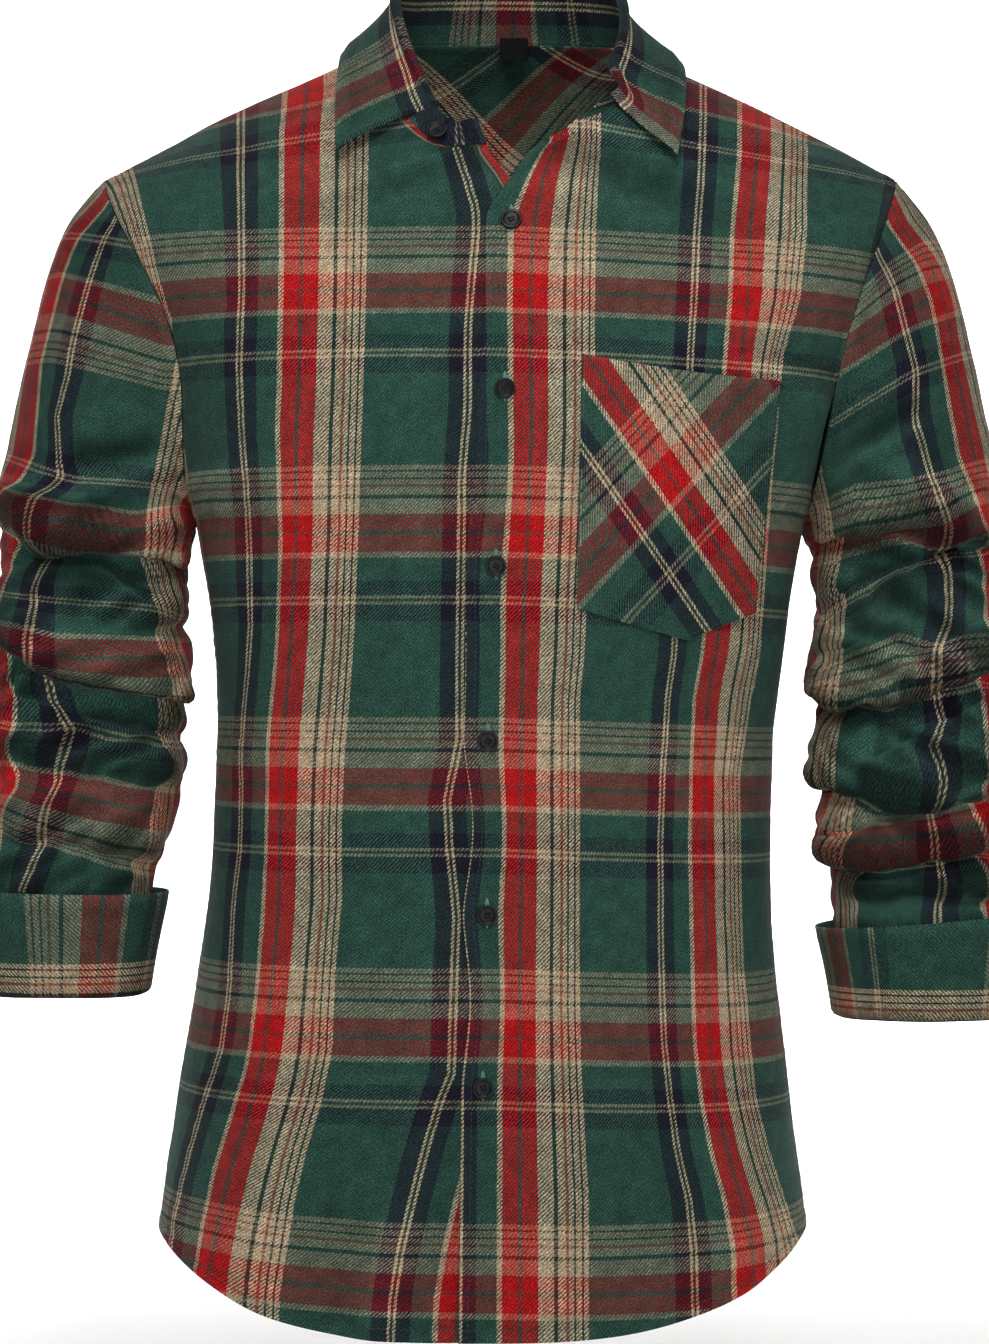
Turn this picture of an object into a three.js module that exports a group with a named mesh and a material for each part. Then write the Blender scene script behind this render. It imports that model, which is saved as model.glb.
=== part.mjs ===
// A long-sleeved flannel shirt with a pointed collar, one chest pocket and turned-back cuffs,
// in the hollow form that it has when it is worn: fronts, back, yoke, collar, sleeves, cuffs.
// Millimetres. +Z is up, the fronts face -Y, and the wearer's left is +X.
// The origin is between the shoulders, at the height of the neck points.
import * as THREE from "three";

const wall = 1.5; // one thickness of brushed cotton twill, with its seam allowances
const seamGap = 0.3;
const sectionPower = 2.4; // the torso's sections are slightly squarer than an ellipse
const armpitZ = -266;
const shoulderPointX = 229;
const neckPointX = 75;
const neckPointZ = 8;
const shoulderSlope = 0.5;
const shoulderRounding = 70; // height over which the chest turns back into the shoulder
const ridgeY = 6; // the top of the shoulder lies a little behind the middle

// Torso sections from the hem up: centre, half width, and depth in front and behind.
const torso = [
  { z: -760, cx: -10, half: 192, front: 136, back: 131 },
  { z: -672, cx: -9.9, half: 186, front: 133, back: 127 },
  { z: -602, cx: -9.6, half: 177.5, front: 130, back: 122 },
  { z: -532, cx: -7.5, half: 167.5, front: 127, back: 117 },
  { z: -463, cx: -5.2, half: 161, front: 124, back: 113 },
  { z: -393, cx: -2.9, half: 160.5, front: 125, back: 112 },
  { z: -324, cx: -0.3, half: 166.5, front: 130, back: 116 },
  { z: -266, cx: 0, half: 176, front: 135, back: 121 },
  { z: -200, cx: 0, half: 188, front: 137, back: 126 },
  { z: -140, cx: 0, half: 216, front: 128, back: 127 },
  { z: -100, cx: 0, half: 244, front: 113, back: 120 },
  { z: -50, cx: 0, half: 275, front: 92, back: 104 },
  { z: 0, cx: 0, half: 295, front: 70, back: 84 },
  { z: 40, cx: 0, half: 300, front: 60, back: 66 },
];

// Soft folds of the body: a trough (-) or ridge (+) that leans as it runs down from top to bottom.
const bodyFolds = [
  { face: "front", x: -150, lean: 26, top: -235, bottom: -330, width: 11, depth: -3.5 },
  { face: "front", x: 152, lean: -24, top: -240, bottom: -345, width: 11, depth: -3.5 },
  { face: "front", x: -118, lean: -20, top: -560, bottom: -760, width: 22, depth: 5 },
  { face: "front", x: 112, lean: 30, top: -560, bottom: -760, width: 20, depth: 5 },
  { face: "front", x: -52, lean: -26, top: -610, bottom: -760, width: 15, depth: 4 },
  { face: "back", x: -70, lean: 12, top: -250, bottom: -560, width: 17, depth: -5 },
  { face: "back", x: 66, lean: -10, top: -270, bottom: -590, width: 18, depth: -5 },
  { face: "back", x: -5, lean: 8, top: -330, bottom: -640, width: 20, depth: -4 },
  { face: "back", x: -128, lean: -18, top: -540, bottom: -770, width: 22, depth: 5 },
  { face: "back", x: 124, lean: 20, top: -540, bottom: -770, width: 22, depth: 5 },
  { face: "back", x: 20, lean: 26, top: -560, bottom: -770, width: 24, depth: 5 },
];

// The armhole is a ring from the underarm to the shoulder point, drawn in between them.
const armhole = { lowX: 176, lowZ: armpitZ, topZ: -68, halfDepth: 63, frontInset: 13, backInset: 15 };

// Neck seam, from the wearer's right front end round the back to the left front end.
const neckSeam = [
  { x: -8, y: -90, z: -59 },
  { x: -33, y: -88, z: -59 },
  { x: -60, y: -62, z: -30 },
  { x: -70, y: -8, z: 6 },
  { x: -50, y: 48, z: 17 },
  { x: 5, y: 70, z: 21 },
  { x: 60, y: 47, z: 16 },
  { x: 80, y: -6, z: 3 },
  { x: 78, y: -50, z: -20 },
  { x: 64, y: -76, z: -38 },
  { x: 42, y: -84, z: -46 },
];
const neckPointRows = { right: 3, left: 7 }; // the rows of the neck seam at which the shoulder seams end

// Closing edges of the two fronts, from the hem up. The left front laps over the right one.
const overEdge = [
  { z: -740, x: -23 },
  { z: -600, x: -21 },
  { z: -463, x: -20 },
  { z: -324, x: -19.5 },
  { z: -238, x: -15 },
  { z: -157, x: -8.5 },
  { z: -104, x: -7.5 },
  { z: -80, x: 6.5 },
  { z: -61, x: 19 },
  { z: -46, x: 42 },
];
const underEdge = [
  { z: -740, x: 8 },
  { z: -324, x: 11 },
  { z: -150, x: 17 },
  { z: -100, x: 12 },
  { z: -80, x: 4 },
  { z: -59, x: -8 },
];
const underDrop = wall + 0.7; // how far the lapped-under edge lies below the upper one
const lapFade = { from: 22, to: 48 }; // distance from the middle over which it comes level again

const hem = { frontZ: -719, backZ: -735, sideZ: -671, power: 3 };
const yoke = { backZ: -62, backX: 214 };

// Sleeve sections from the armhole down: outer and inner points, centre and half depth.
const sleeve = [
  { outX: 229, outZ: -68, inX: 176, inZ: -266, y: 0, halfDepth: 63 },
  { outX: 247, outZ: -92, inX: 178.5, inZ: -275, y: 0, halfDepth: 64 },
  { outX: 260, outZ: -124, inX: 180.5, inZ: -284, y: 0, halfDepth: 64 },
  { outX: 270, outZ: -160, inX: 181, inZ: -296, y: 0, halfDepth: 63 },
  { outX: 279, outZ: -202, inX: 181, inZ: -310, y: 0, halfDepth: 61 },
  { outX: 286, outZ: -240, inX: 181, inZ: -326, y: -1, halfDepth: 59 },
  { outX: 290, outZ: -282, inX: 180.5, inZ: -345, y: -2, halfDepth: 57 },
  { outX: 293, outZ: -330, inX: 181, inZ: -372, y: -4, halfDepth: 55 },
  { outX: 295, outZ: -380, inX: 182, inZ: -401, y: -8, halfDepth: 53 },
  { outX: 296, outZ: -430, inX: 185, inZ: -436, y: -13, halfDepth: 50 },
  { outX: 296, outZ: -478, inX: 192, inZ: -478, y: -19, halfDepth: 46 },
  { outX: 294, outZ: -534, inX: 197, inZ: -534, y: -25, halfDepth: 43 },
];
const sleevePower = 2.2;

// Folds of the sleeves. at: height on the sleeve's front; slant: rise towards the body;
// facing: degrees round from the outer side by way of the front; spread: how far round it runs.
const sleeveFolds = {
  right: [
    { at: -250, slant: 20, facing: 150, spread: 60, width: 11, depth: -5 },
    { at: -262, slant: -8, facing: 60, spread: 90, width: 13, depth: 6 },
    { at: -282, slant: 12, facing: 90, spread: 110, width: 9, depth: -10 },
    { at: -312, slant: -6, facing: 130, spread: 80, width: 12, depth: 5 },
    { at: -338, slant: 10, facing: 160, spread: 70, width: 9, depth: -6 },
    { at: -353, slant: -16, facing: 90, spread: 100, width: 10, depth: 6 },
    { at: -376, slant: -14, facing: 110, spread: 120, width: 8, depth: -11 },
    { at: -398, slant: -12, facing: 60, spread: 80, width: 11, depth: 5 },
    { at: -424, slant: -10, facing: 40, spread: 70, width: 9, depth: -6 },
    { at: -446, slant: -20, facing: 110, spread: 90, width: 11, depth: -4 },
    { at: -300, slant: 8, facing: 270, spread: 90, width: 10, depth: -8 },
    { at: -352, slant: -10, facing: 260, spread: 100, width: 11, depth: -8 },
    { at: -408, slant: 8, facing: 280, spread: 90, width: 10, depth: -7 },
    { at: -452, slant: -6, facing: 250, spread: 80, width: 10, depth: -5 },
  ],
  left: [
    { at: -236, slant: 34, facing: 120, spread: 60, width: 12, depth: -5 },
    { at: -270, slant: 10, facing: 70, spread: 90, width: 13, depth: 6 },
    { at: -292, slant: -26, facing: 100, spread: 100, width: 9, depth: -9 },
    { at: -322, slant: -30, facing: 120, spread: 80, width: 12, depth: 6 },
    { at: -346, slant: -34, facing: 130, spread: 90, width: 9, depth: -9 },
    { at: -366, slant: -30, facing: 90, spread: 80, width: 10, depth: 5 },
    { at: -388, slant: -30, facing: 100, spread: 110, width: 8, depth: -9 },
    { at: -424, slant: -22, facing: 90, spread: 110, width: 8, depth: -11 },
    { at: -440, slant: -6, facing: 150, spread: 60, width: 12, depth: 7 },
    { at: -458, slant: -14, facing: 120, spread: 80, width: 9, depth: -6 },
    { at: -296, slant: -8, facing: 270, spread: 90, width: 10, depth: -8 },
    { at: -344, slant: 10, facing: 260, spread: 100, width: 11, depth: -8 },
    { at: -398, slant: -8, facing: 280, spread: 90, width: 10, depth: -7 },
    { at: -448, slant: 6, facing: 250, spread: 80, width: 10, depth: -5 },
  ],
};

// How the two sleeve ends differ: outward shift of the inner edge, and drop.
const wrist = { right: { shift: 8, drop: -7 }, left: { shift: -2, drop: 6 } };

// Each turned-back cuff: height, how much its upper edge stands off, and the rise of its outer side.
const cuff = { clear: 1.6, wall: 1.9, below: 7, overlap: 22, lapAt: 255, step: 5.6 };
const cuffShape = { right: { height: 55, flare: 10.5, tilt: 2 }, left: { height: 52, flare: 9, tilt: 10 } };

// Collar: the stand rises from the neck seam, and the leaf folds over it and falls outside.
const stand = { backHeight: 33, lean: 12, rightEnd: { x: -12, z: 13 }, leftEnd: { x: 17, z: 14 } };
const leafInset = { right: 0.075, left: 0.008 }; // shares of the neck seam by which the leaf's ends are set in
const leafRoll = -1.5; // how far the leaf bows outwards between its fold and its edge
const leafEdge = [
  { x: -91, y: -99, z: -65 },
  { x: -92, y: -66, z: -26 },
  { x: -90, y: -12, z: 3 },
  { x: -78, y: 45, z: 8 },
  { x: -40, y: 82, z: 12 },
  { x: 5, y: 93, z: 12 },
  { x: 50, y: 81, z: 11 },
  { x: 88, y: 44, z: 6 },
  { x: 104, y: -10, z: -2 },
  { x: 104, y: -66, z: -30 },
  { x: 98, y: -102, z: -67 },
];

// The pocket's corners, seen from the front, on the left front.
const pocket = { left: 45, right: 155, topLeft: -181, topRight: -193, lowLeft: 42, lowRight: 142.5 };
const pocketLow = { left: -319, middle: -336, right: -320.5, middleAt: 0.6 };
const button = { radius: 5.7, thickness: 2.4, hole: 0.85, holeAt: 1.5, sides: 20 };
const buttons = [
  { x: 6, z: -105 },
  { x: 2.5, z: -199.5 },
  { x: -2.4, z: -296 },
  { x: -6.8, z: -391.5 },
  { x: -7.3, z: -487 },
  { x: -9.5, z: -581 },
];
const collarButton = { along: 0.047, up: 0.5 }; // on the stand's right end
const label = { width: 17, height: 14.3, wall: 1.2, x: 8.4, z: 17.8, y: 65.4 };
const trimGap = 0.6; // under the buttons, which lie on curved cloth
const pocketGap = 0.9;

const cloth = (hex) => new THREE.MeshStandardMaterial({ color: hex, roughness: 0.95, metalness: 0 });
const materials = {
  body: cloth(0x2b4a3f),
  sleeve: cloth(0x2f4f44),
  collar: cloth(0x34564a),
  button: new THREE.MeshStandardMaterial({ color: 0x101113, roughness: 0.3, metalness: 0 }),
  label: cloth(0x15151a),
};

const clamp = (v, low, high) => Math.min(high, Math.max(low, v));
const mix = (a, b, t) => a + (b - a) * t;
const smooth = (t) => {
  const c = clamp(t, 0, 1);
  return c * c * (3 - 2 * c);
};

// A column of a table at a position, on a curve through the rows that never overshoots them.
function column(rows, by, name, at) {
  const up = rows[0][by] <= rows[rows.length - 1][by];
  const list = up ? rows : [...rows].reverse();
  const x = clamp(at, list[0][by], list[list.length - 1][by]);
  let i = 0;
  while (i < list.length - 2 && x > list[i + 1][by]) i += 1;
  const slope = (k) => {
    if (k <= 0 || k >= list.length - 1) return 0;
    const before = (list[k][name] - list[k - 1][name]) / (list[k][by] - list[k - 1][by]);
    const after = (list[k + 1][name] - list[k][name]) / (list[k + 1][by] - list[k][by]);
    return before * after <= 0 ? 0 : (2 * before * after) / (before + after);
  };
  const width = list[i + 1][by] - list[i][by];
  const t = (x - list[i][by]) / width;
  const [a, b] = [list[i][name], list[i + 1][name]];
  const [ma, mb] = [slope(i) * width, slope(i + 1) * width];
  return (
    a * (2 * t ** 3 - 3 * t ** 2 + 1) +
    ma * (t ** 3 - 2 * t ** 2 + t) +
    b * (3 * t ** 2 - 2 * t ** 3) +
    mb * (t ** 3 - t ** 2)
  );
}

const torsoAt = (name, z) => column(torso, "z", name, z);
const shoulderZ = (x) => neckPointZ - shoulderSlope * (Math.abs(x) - neckPointX);

// Depth of the body's form at a place seen from the front: face -1 is the front, +1 the back.
function formY(face, x, z) {
  const side = clamp(Math.abs(x - torsoAt("cx", z)) / torsoAt("half", z), 0, 1);
  const across = (1 - side ** sectionPower) ** (1 / sectionPower);
  const below = clamp((shoulderZ(x) - z) / shoulderRounding, 0, 1);
  const turn = Math.sqrt(Math.max(0, 1 - (1 - below) ** 2));
  const base = ridgeY * smooth((z - armpitZ) / 160);
  return base + face * torsoAt(face < 0 ? "front" : "back", z) * across * turn;
}

function foldDepth(face, x, z) {
  const name = face < 0 ? "front" : "back";
  return bodyFolds
    .filter((f) => f.face === name)
    .reduce((sum, f) => {
      const down = (f.top - z) / (f.top - f.bottom);
      const line = f.x + f.lean * down;
      const fade = smooth(down * 3) * (f.bottom < hem.sideZ ? 1 : smooth((1 - down) * 3));
      return sum + f.depth * Math.exp(-(((x - line) / f.width) ** 2)) * fade;
    }, 0);
}

// A place on the armhole ring: turn 0 is the underarm, 90 the front, 180 the shoulder, 270 the back.
function armholePoint(side, turn) {
  const a = THREE.MathUtils.degToRad(turn);
  const up = (1 - Math.cos(a)) / 2;
  const inset = Math.sin(a) > 0 ? armhole.frontInset : armhole.backInset;
  const x = mix(armhole.lowX, shoulderPointX, up) - inset * Math.abs(Math.sin(a)) ** 2.2;
  const y = ridgeY * up - armhole.halfDepth * Math.sin(a);
  return new THREE.Vector3(side * x, y, mix(armhole.lowZ, armhole.topZ, up));
}

const neckCurve = new THREE.CatmullRomCurve3(
  neckSeam.map((p) => new THREE.Vector3(p.x, p.y, p.z)),
  false,
  "centripetal",
);
const seamLengths = neckCurve.getLengths(200);
const seamShare = (row) => seamLengths[Math.round((200 * row) / (neckSeam.length - 1))] / seamLengths[200];
const neckPointAt = { right: seamShare(neckPointRows.right), left: seamShare(neckPointRows.left) };

// Points at even distances along a polyline.
function evenly(points, count) {
  const lengths = [0];
  for (let i = 1; i < points.length; i += 1)
    lengths.push(lengths[i - 1] + points[i].distanceTo(points[i - 1]));
  const total = lengths[lengths.length - 1];
  let k = 0;
  return Array.from({ length: count + 1 }, (_, i) => {
    const at = (total * i) / count;
    while (k < points.length - 2 && lengths[k + 1] < at) k += 1;
    const t = (at - lengths[k]) / (lengths[k + 1] - lengths[k]);
    return points[k].clone().lerp(points[k + 1], clamp(t, 0, 1));
  });
}

// One row across a panel of the body, from a start point near the middle to a place at its side.
const rowSamples = 48;
function bodyRow(face, start, end, count, sink) {
  const fine = Array.from({ length: rowSamples + 1 }, (_, i) => {
    const t = i / rowSamples;
    const across = Math.sin((t * Math.PI) / 2);
    const x = mix(start.x, end.x, across);
    const z = mix(start.z, end.z, across);
    const first = (start.y - formY(face, start.x, start.z)) * (1 - smooth(t * 1.8));
    const last = (end.y - formY(face, end.x, end.z)) * t ** 4;
    const y = formY(face, x, z) + first + last + face * foldDepth(face, x, z) * Math.sin(Math.PI * t) ** 0.5;
    return new THREE.Vector3(x, y - face * (sink ? sink(x) : 0), z);
  });
  return evenly(fine, count);
}

const hemZ = (face, across) =>
  mix(face < 0 ? hem.frontZ : hem.backZ, hem.sideZ, clamp(Math.abs(across), 0, 1) ** hem.power);

// The rows of one front, from the hem to the shoulder seam.
const frontRows = { low: 15, high: 13, across: 12, neckFrom: 0.62 };
function frontPanel(side) {
  const edge = side > 0 ? overEdge : underEdge;
  const topZ = edge[edge.length - 1].z;
  const sink = side > 0 ? null : (x) => underDrop * (1 - smooth((-x - lapFade.from) / (lapFade.to - lapFade.from)));
  const rows = [];
  for (let r = 0; r <= frontRows.low; r += 1) {
    const t = r / frontRows.low;
    const fine = [];
    for (let i = 0; i <= rowSamples; i += 1) {
      const turn = (i / rowSamples) * (Math.PI / 2);
      const z = mix(hemZ(-1, Math.sin(turn)), armpitZ, t);
      const startX = column(edge, "z", "x", z);
      const half = torsoAt("half", z);
      const cx = torsoAt("cx", z);
      const first = Math.asin(clamp(Math.abs(startX - cx) / half, 0, 1) ** (sectionPower / 2));
      const from = Math.sign((startX - cx) * side) * first;
      const a = mix(from, Math.PI / 2, i / rowSamples);
      const x = cx + side * half * Math.sign(a) * Math.abs(Math.sin(a)) ** (2 / sectionPower);
      const reach = clamp((x - cx) / (side * half), -1, 1);
      const zHere = mix(hemZ(-1, reach), armpitZ, t);
      const y = formY(-1, x, zHere) - foldDepth(-1, x, zHere) * (1 - Math.abs(reach) ** 8);
      fine.push(new THREE.Vector3(x, y + (sink ? sink(x) : 0), zHere));
    }
    rows.push(evenly(fine, frontRows.across));
  }
  for (let r = 1; r <= frontRows.high; r += 1) {
    const w = r / frontRows.high;
    const end = armholePoint(side, 180 * w ** 0.9);
    let start;
    if (w <= frontRows.neckFrom) {
      const z = mix(armpitZ, topZ, w / frontRows.neckFrom);
      const x = column(edge, "z", "x", z);
      const collarEnd = side > 0 ? neckSeam[neckSeam.length - 1] : neckSeam[0];
      const pull = smooth((z + 74) / (topZ + 74));
      start = new THREE.Vector3(x, mix(formY(-1, x, z), collarEnd.y, pull), z);
    } else {
      const share = (w - frontRows.neckFrom) / (1 - frontRows.neckFrom);
      start = neckCurve.getPointAt(side > 0 ? mix(1, neckPointAt.left, share) : neckPointAt.right * share);
    }
    const row = bodyRow(-1, start, end, frontRows.across, w < 0.9 ? sink : null);
    const flat = smooth((w - 0.8) / 0.2);
    rows.push(row.map((p, i) => p.lerp(seamLine(start, end, i / frontRows.across), flat)));
  }
  return rows;
}

// The back below the yoke, from the wearer's right side seam to the left one.
const backRows = { low: 14, high: 7, across: 18 };
const yokeTurn = 228; // where the yoke's back seam meets the armhole
function backPanel() {
  const rows = [];
  for (let r = 0; r <= backRows.low; r += 1) {
    const t = r / backRows.low;
    const fine = [];
    for (let i = 0; i <= rowSamples; i += 1) {
      const a = mix(-Math.PI / 2, Math.PI / 2, i / rowSamples);
      const reach = Math.sign(a) * Math.abs(Math.sin(a)) ** (2 / sectionPower);
      const z = mix(hemZ(1, reach), armpitZ, t);
      const x = torsoAt("cx", z) + torsoAt("half", z) * reach;
      fine.push(new THREE.Vector3(x, formY(1, x, z) + foldDepth(1, x, z) * (1 - Math.abs(reach) ** 8), z));
    }
    rows.push(evenly(fine, backRows.across));
  }
  for (let r = 1; r <= backRows.high; r += 1) {
    const w = r / backRows.high;
    rows.push(backRow(360 - (360 - yokeTurn) * w, mix(armpitZ, yoke.backZ, w), backRows.across));
  }
  return rows;
}

// A row across the back from armhole to armhole, which dips or rises to a middle height.
function backRow(turn, middleZ, count) {
  const end = armholePoint(1, turn);
  const fine = [];
  for (let i = 0; i <= rowSamples; i += 1) {
    const t = mix(-1, 1, i / rowSamples);
    const x = end.x * Math.sin((t * Math.PI) / 2);
    const away = Math.abs(x) / end.x;
    const z = mix(middleZ, end.z, away ** 2);
    const wanted = end.y - formY(1, end.x, end.z);
    fine.push(new THREE.Vector3(x, formY(1, x, z) + wanted * away ** 3 + foldDepth(1, x, z) * (1 - away ** 4), z));
  }
  return evenly(fine, count);
}

// The yoke runs from the back seam up over the shoulders to the fronts and the neck seam.
const yokeRows = { down: 6, across: 22 };
function yokePanel() {
  const low = backRow(yokeTurn, yoke.backZ, yokeRows.across);
  const rows = [];
  const shoulderShare = 0.36; // share of the row that is one shoulder seam
  for (let r = 0; r <= yokeRows.down; r += 1) {
    const t = r / yokeRows.down;
    const fine = [];
    for (let i = 0; i <= yokeRows.across; i += 1) {
      const s = i / yokeRows.across;
      let top;
      if (s < shoulderShare) top = shoulderSeam(-1, 1 - s / shoulderShare);
      else if (s > 1 - shoulderShare) top = shoulderSeam(1, (s - 1 + shoulderShare) / shoulderShare);
      else {
        const share = (s - shoulderShare) / (1 - 2 * shoulderShare);
        top = neckCurve.getPointAt(mix(neckPointAt.right, neckPointAt.left, share));
      }
      const bottom = low[i];
      const side = Math.abs(mix(-1, 1, s));
      const x = mix(bottom.x, top.x, t);
      let z = mix(bottom.z, top.z, t);
      let y = mix(bottom.y, top.y, t);
      const bulge = Math.sin(Math.PI * t);
      z += bulge * mix(9, 13, side ** 2);
      y += bulge * mix(6, 14, side ** 2);
      if (i === 0 || i === yokeRows.across) {
        const ring = armholePoint(i === 0 ? -1 : 1, mix(yokeTurn, 180, t));
        fine.push(ring);
      } else fine.push(new THREE.Vector3(x, y, z));
    }
    rows.push(fine);
  }
  return rows;
}

// The shoulder seam from the neck point (0) to the shoulder point (1).
function shoulderSeam(side, t) {
  return seamLine(neckCurve.getPointAt(side > 0 ? neckPointAt.left : neckPointAt.right), armholePoint(side, 180), t);
}
function seamLine(start, end, t) {
  const p = start.clone().lerp(end, t);
  p.z += 2.5 * Math.sin(Math.PI * t);
  return p;
}

// Rings of a sleeve from the armhole down, each a list of points round from the outer side.
const sleeveRings = { count: 27, round: 20, armholeFade: 0.2 };
const sleeveRows = sleeve.map((row, i) => ({ ...row, t: i / (sleeve.length - 1) }));
function sleeveAt(side, t) {
  const names = ["outX", "outZ", "inX", "inZ", "y", "halfDepth"];
  const s = Object.fromEntries(names.map((name) => [name, column(sleeveRows, "t", name, t)]));
  const end = wrist[side > 0 ? "left" : "right"];
  const share = smooth((t - 0.7) / 0.3);
  s.inX += end.shift * share;
  s.inZ -= end.drop * share;
  s.outZ -= end.drop * share;
  return s;
}
// A place on a sleeve's section before any fold: its point, and which way the surface faces there.
function sleeveSection(side, t, turn) {
  const s = sleeveAt(side, t);
  const a = THREE.MathUtils.degToRad(turn);
  const power = 2 / sleevePower;
  const c = Math.sign(Math.cos(a)) * Math.abs(Math.cos(a)) ** power;
  const d = Math.sign(Math.sin(a)) * Math.abs(Math.sin(a)) ** power;
  const [mx, mz] = [(s.outX + s.inX) / 2, (s.outZ + s.inZ) / 2];
  const [hx, hz] = [(s.outX - s.inX) / 2, (s.outZ - s.inZ) / 2];
  const point = new THREE.Vector3(side * (mx + hx * c), s.y - s.halfDepth * d, mz + hz * c);
  const width = Math.hypot(hx, hz);
  const facing = new THREE.Vector3((side * hx * c) / width, -d, (hz * c) / width);
  return { point, facing, level: Math.cos(a) };
}
function sleevePoint(side, t, turn) {
  const { point, facing, level } = sleeveSection(side, t, turn);
  const fold = sleeveFolds[side > 0 ? "left" : "right"].reduce((sum, f) => {
    const away = THREE.MathUtils.euclideanModulo(turn - f.facing + 180, 360) - 180;
    const line = f.at - f.slant * level;
    const round = Math.exp(-((away / (f.spread * 0.7)) ** 2));
    return sum + f.depth * Math.exp(-(((point.z - line) / f.width) ** 2)) * round;
  }, 0);
  const calm = smooth((t - 0.12) / 0.2) * smooth((0.94 - t) / 0.1);
  point.addScaledVector(facing, fold * calm);
  if (t >= sleeveRings.armholeFade) return point;
  const hole = armholePoint(side, THREE.MathUtils.euclideanModulo(180 - turn, 360));
  hole.x += side * mix(0.9, 2.4, ((1 - level) / 2) ** 2);
  const share = smooth(1 - t / sleeveRings.armholeFade);
  return point.add(hole.sub(sleeveSection(side, 0, turn).point).multiplyScalar(share));
}
function sleevePanel(side) {
  const rows = [];
  for (let r = 0; r <= sleeveRings.count; r += 1) {
    const ring = [];
    for (let i = 0; i < sleeveRings.round; i += 1)
      ring.push(sleevePoint(side, r / sleeveRings.count, (i * 360) / sleeveRings.round));
    rows.push(ring);
  }
  return rows;
}

// A turned-back cuff: a strip wound once round the sleeve's end, with lapped ends behind.
// It starts under the sleeve's end, folds outwards below it, and rises outside the sleeve.
const cuffRows = { down: 4, round: 22 };
function cuffPanel(side) {
  const shape = cuffShape[side > 0 ? "left" : "right"];
  const end = sleeveAt(side, 1);
  const [mx, hx] = [(end.outX + end.inX) / 2, (end.outX - end.inX) / 2];
  const lowZ = end.outZ - cuff.below;
  const outside = cuff.clear + cuff.wall;
  const profile = [];
  for (let k = 0; k <= cuffRows.down; k += 1) {
    const t = k / cuffRows.down;
    profile.push({ z: lowZ + shape.height * (1 - t), out: outside + shape.flare * (1 - t) ** 1.2, t });
  }
  profile.push({ z: lowZ - 2.4, out: outside - 2.6, t: 1 });
  profile.push({ z: lowZ - 0.8, out: -wall + 0.2, t: 1 });
  profile.push({ z: end.outZ - 0.4, out: -wall, t: 1 });
  const startTurn = cuff.lapAt + cuff.overlap / 2;
  return profile.map((p) => {
    const ring = [];
    for (let i = 0; i <= cuffRows.round; i += 1) {
      const t = i / cuffRows.round;
      const a = THREE.MathUtils.degToRad(startTurn - (360 + cuff.overlap) * t);
      const grow = p.out + cuff.step * smooth((t - 0.84) / 0.1);
      const power = 2 / sleevePower;
      const c = Math.sign(Math.cos(a)) * Math.abs(Math.cos(a)) ** power;
      const d = Math.sign(Math.sin(a)) * Math.abs(Math.sin(a)) ** power;
      const y = end.y + 4 * (1 - p.t);
      const z = p.z + (shape.tilt / 2) * c * (1 - p.t);
      ring.push(new THREE.Vector3(side * (mx + (hx + grow) * c), y - (end.halfDepth + grow) * d, z));
    }
    return ring;
  });
}

// A place on the stand: along the neck seam, and up from it.
function standPoint(along, up, out) {
  const seam = neckCurve.getPointAt(along);
  const tangent = neckCurve.getTangentAt(along);
  const outward = new THREE.Vector3(-tangent.y, tangent.x, 0).normalize();
  const middle = smooth(Math.min(along, 1 - along) / 0.3);
  const end = along < 0.5 ? stand.rightEnd : stand.leftEnd;
  const leaning = smooth(Math.min(along, 1 - along) / 0.11);
  const rise = new THREE.Vector3(end.x * (1 - leaning), 0, mix(end.z, stand.backHeight, middle));
  rise.addScaledVector(outward, -stand.lean * leaning);
  return seam.add(rise.multiplyScalar(up)).add(outward.multiplyScalar(out));
}
const collarRows = { stand: 3, leafDown: 5, round: 24 };
function standPanel() {
  const rows = [];
  for (let k = 0; k <= collarRows.stand; k += 1) {
    const row = [];
    for (let i = 0; i <= collarRows.round; i += 1)
      row.push(standPoint(i / collarRows.round, mix(0.06, 1, k / collarRows.stand), 0));
    rows.push(row);
  }
  return rows;
}

// The leaf: over the stand's top edge and down to the outer edge, which runs from point to point.
const leafCurve = new THREE.CatmullRomCurve3(
  leafEdge.map((p) => new THREE.Vector3(p.x, p.y, p.z)),
  false,
  "centripetal",
);
// The leaf's rows start with the roll over the stand's top edge: distance outwards and up from it.
const leafRolls = [
  { out: -wall - 0.2, up: 1.1 },
  { out: -0.4, up: 3.1 },
  { out: 2.6, up: 2.8 },
];
function leafPanel() {
  const rows = [];
  const count = leafRolls.length + collarRows.leafDown;
  for (let k = 0; k < count; k += 1) {
    const down = Math.max(0, (k - leafRolls.length + 1) / collarRows.leafDown);
    const roll = leafRolls[Math.min(k, leafRolls.length - 1)];
    const row = [];
    for (let i = 0; i <= collarRows.round; i += 1) {
      const t = i / collarRows.round;
      const along = mix(leafInset.right, 1 - leafInset.left, t);
      const top = standPoint(along, 1, roll.out);
      top.z += roll.up;
      const p = top.lerp(leafCurve.getPointAt(t), down);
      const tangent = neckCurve.getTangentAt(along);
      const outward = new THREE.Vector3(-tangent.y, tangent.x, 0).normalize();
      const bulge = Math.sin(Math.PI * Math.min(1, down * 1.15) ** 0.7);
      p.add(outward.multiplyScalar(bulge * leafRoll));
      row.push(p);
    }
    rows.push(row);
  }
  return rows;
}

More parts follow.
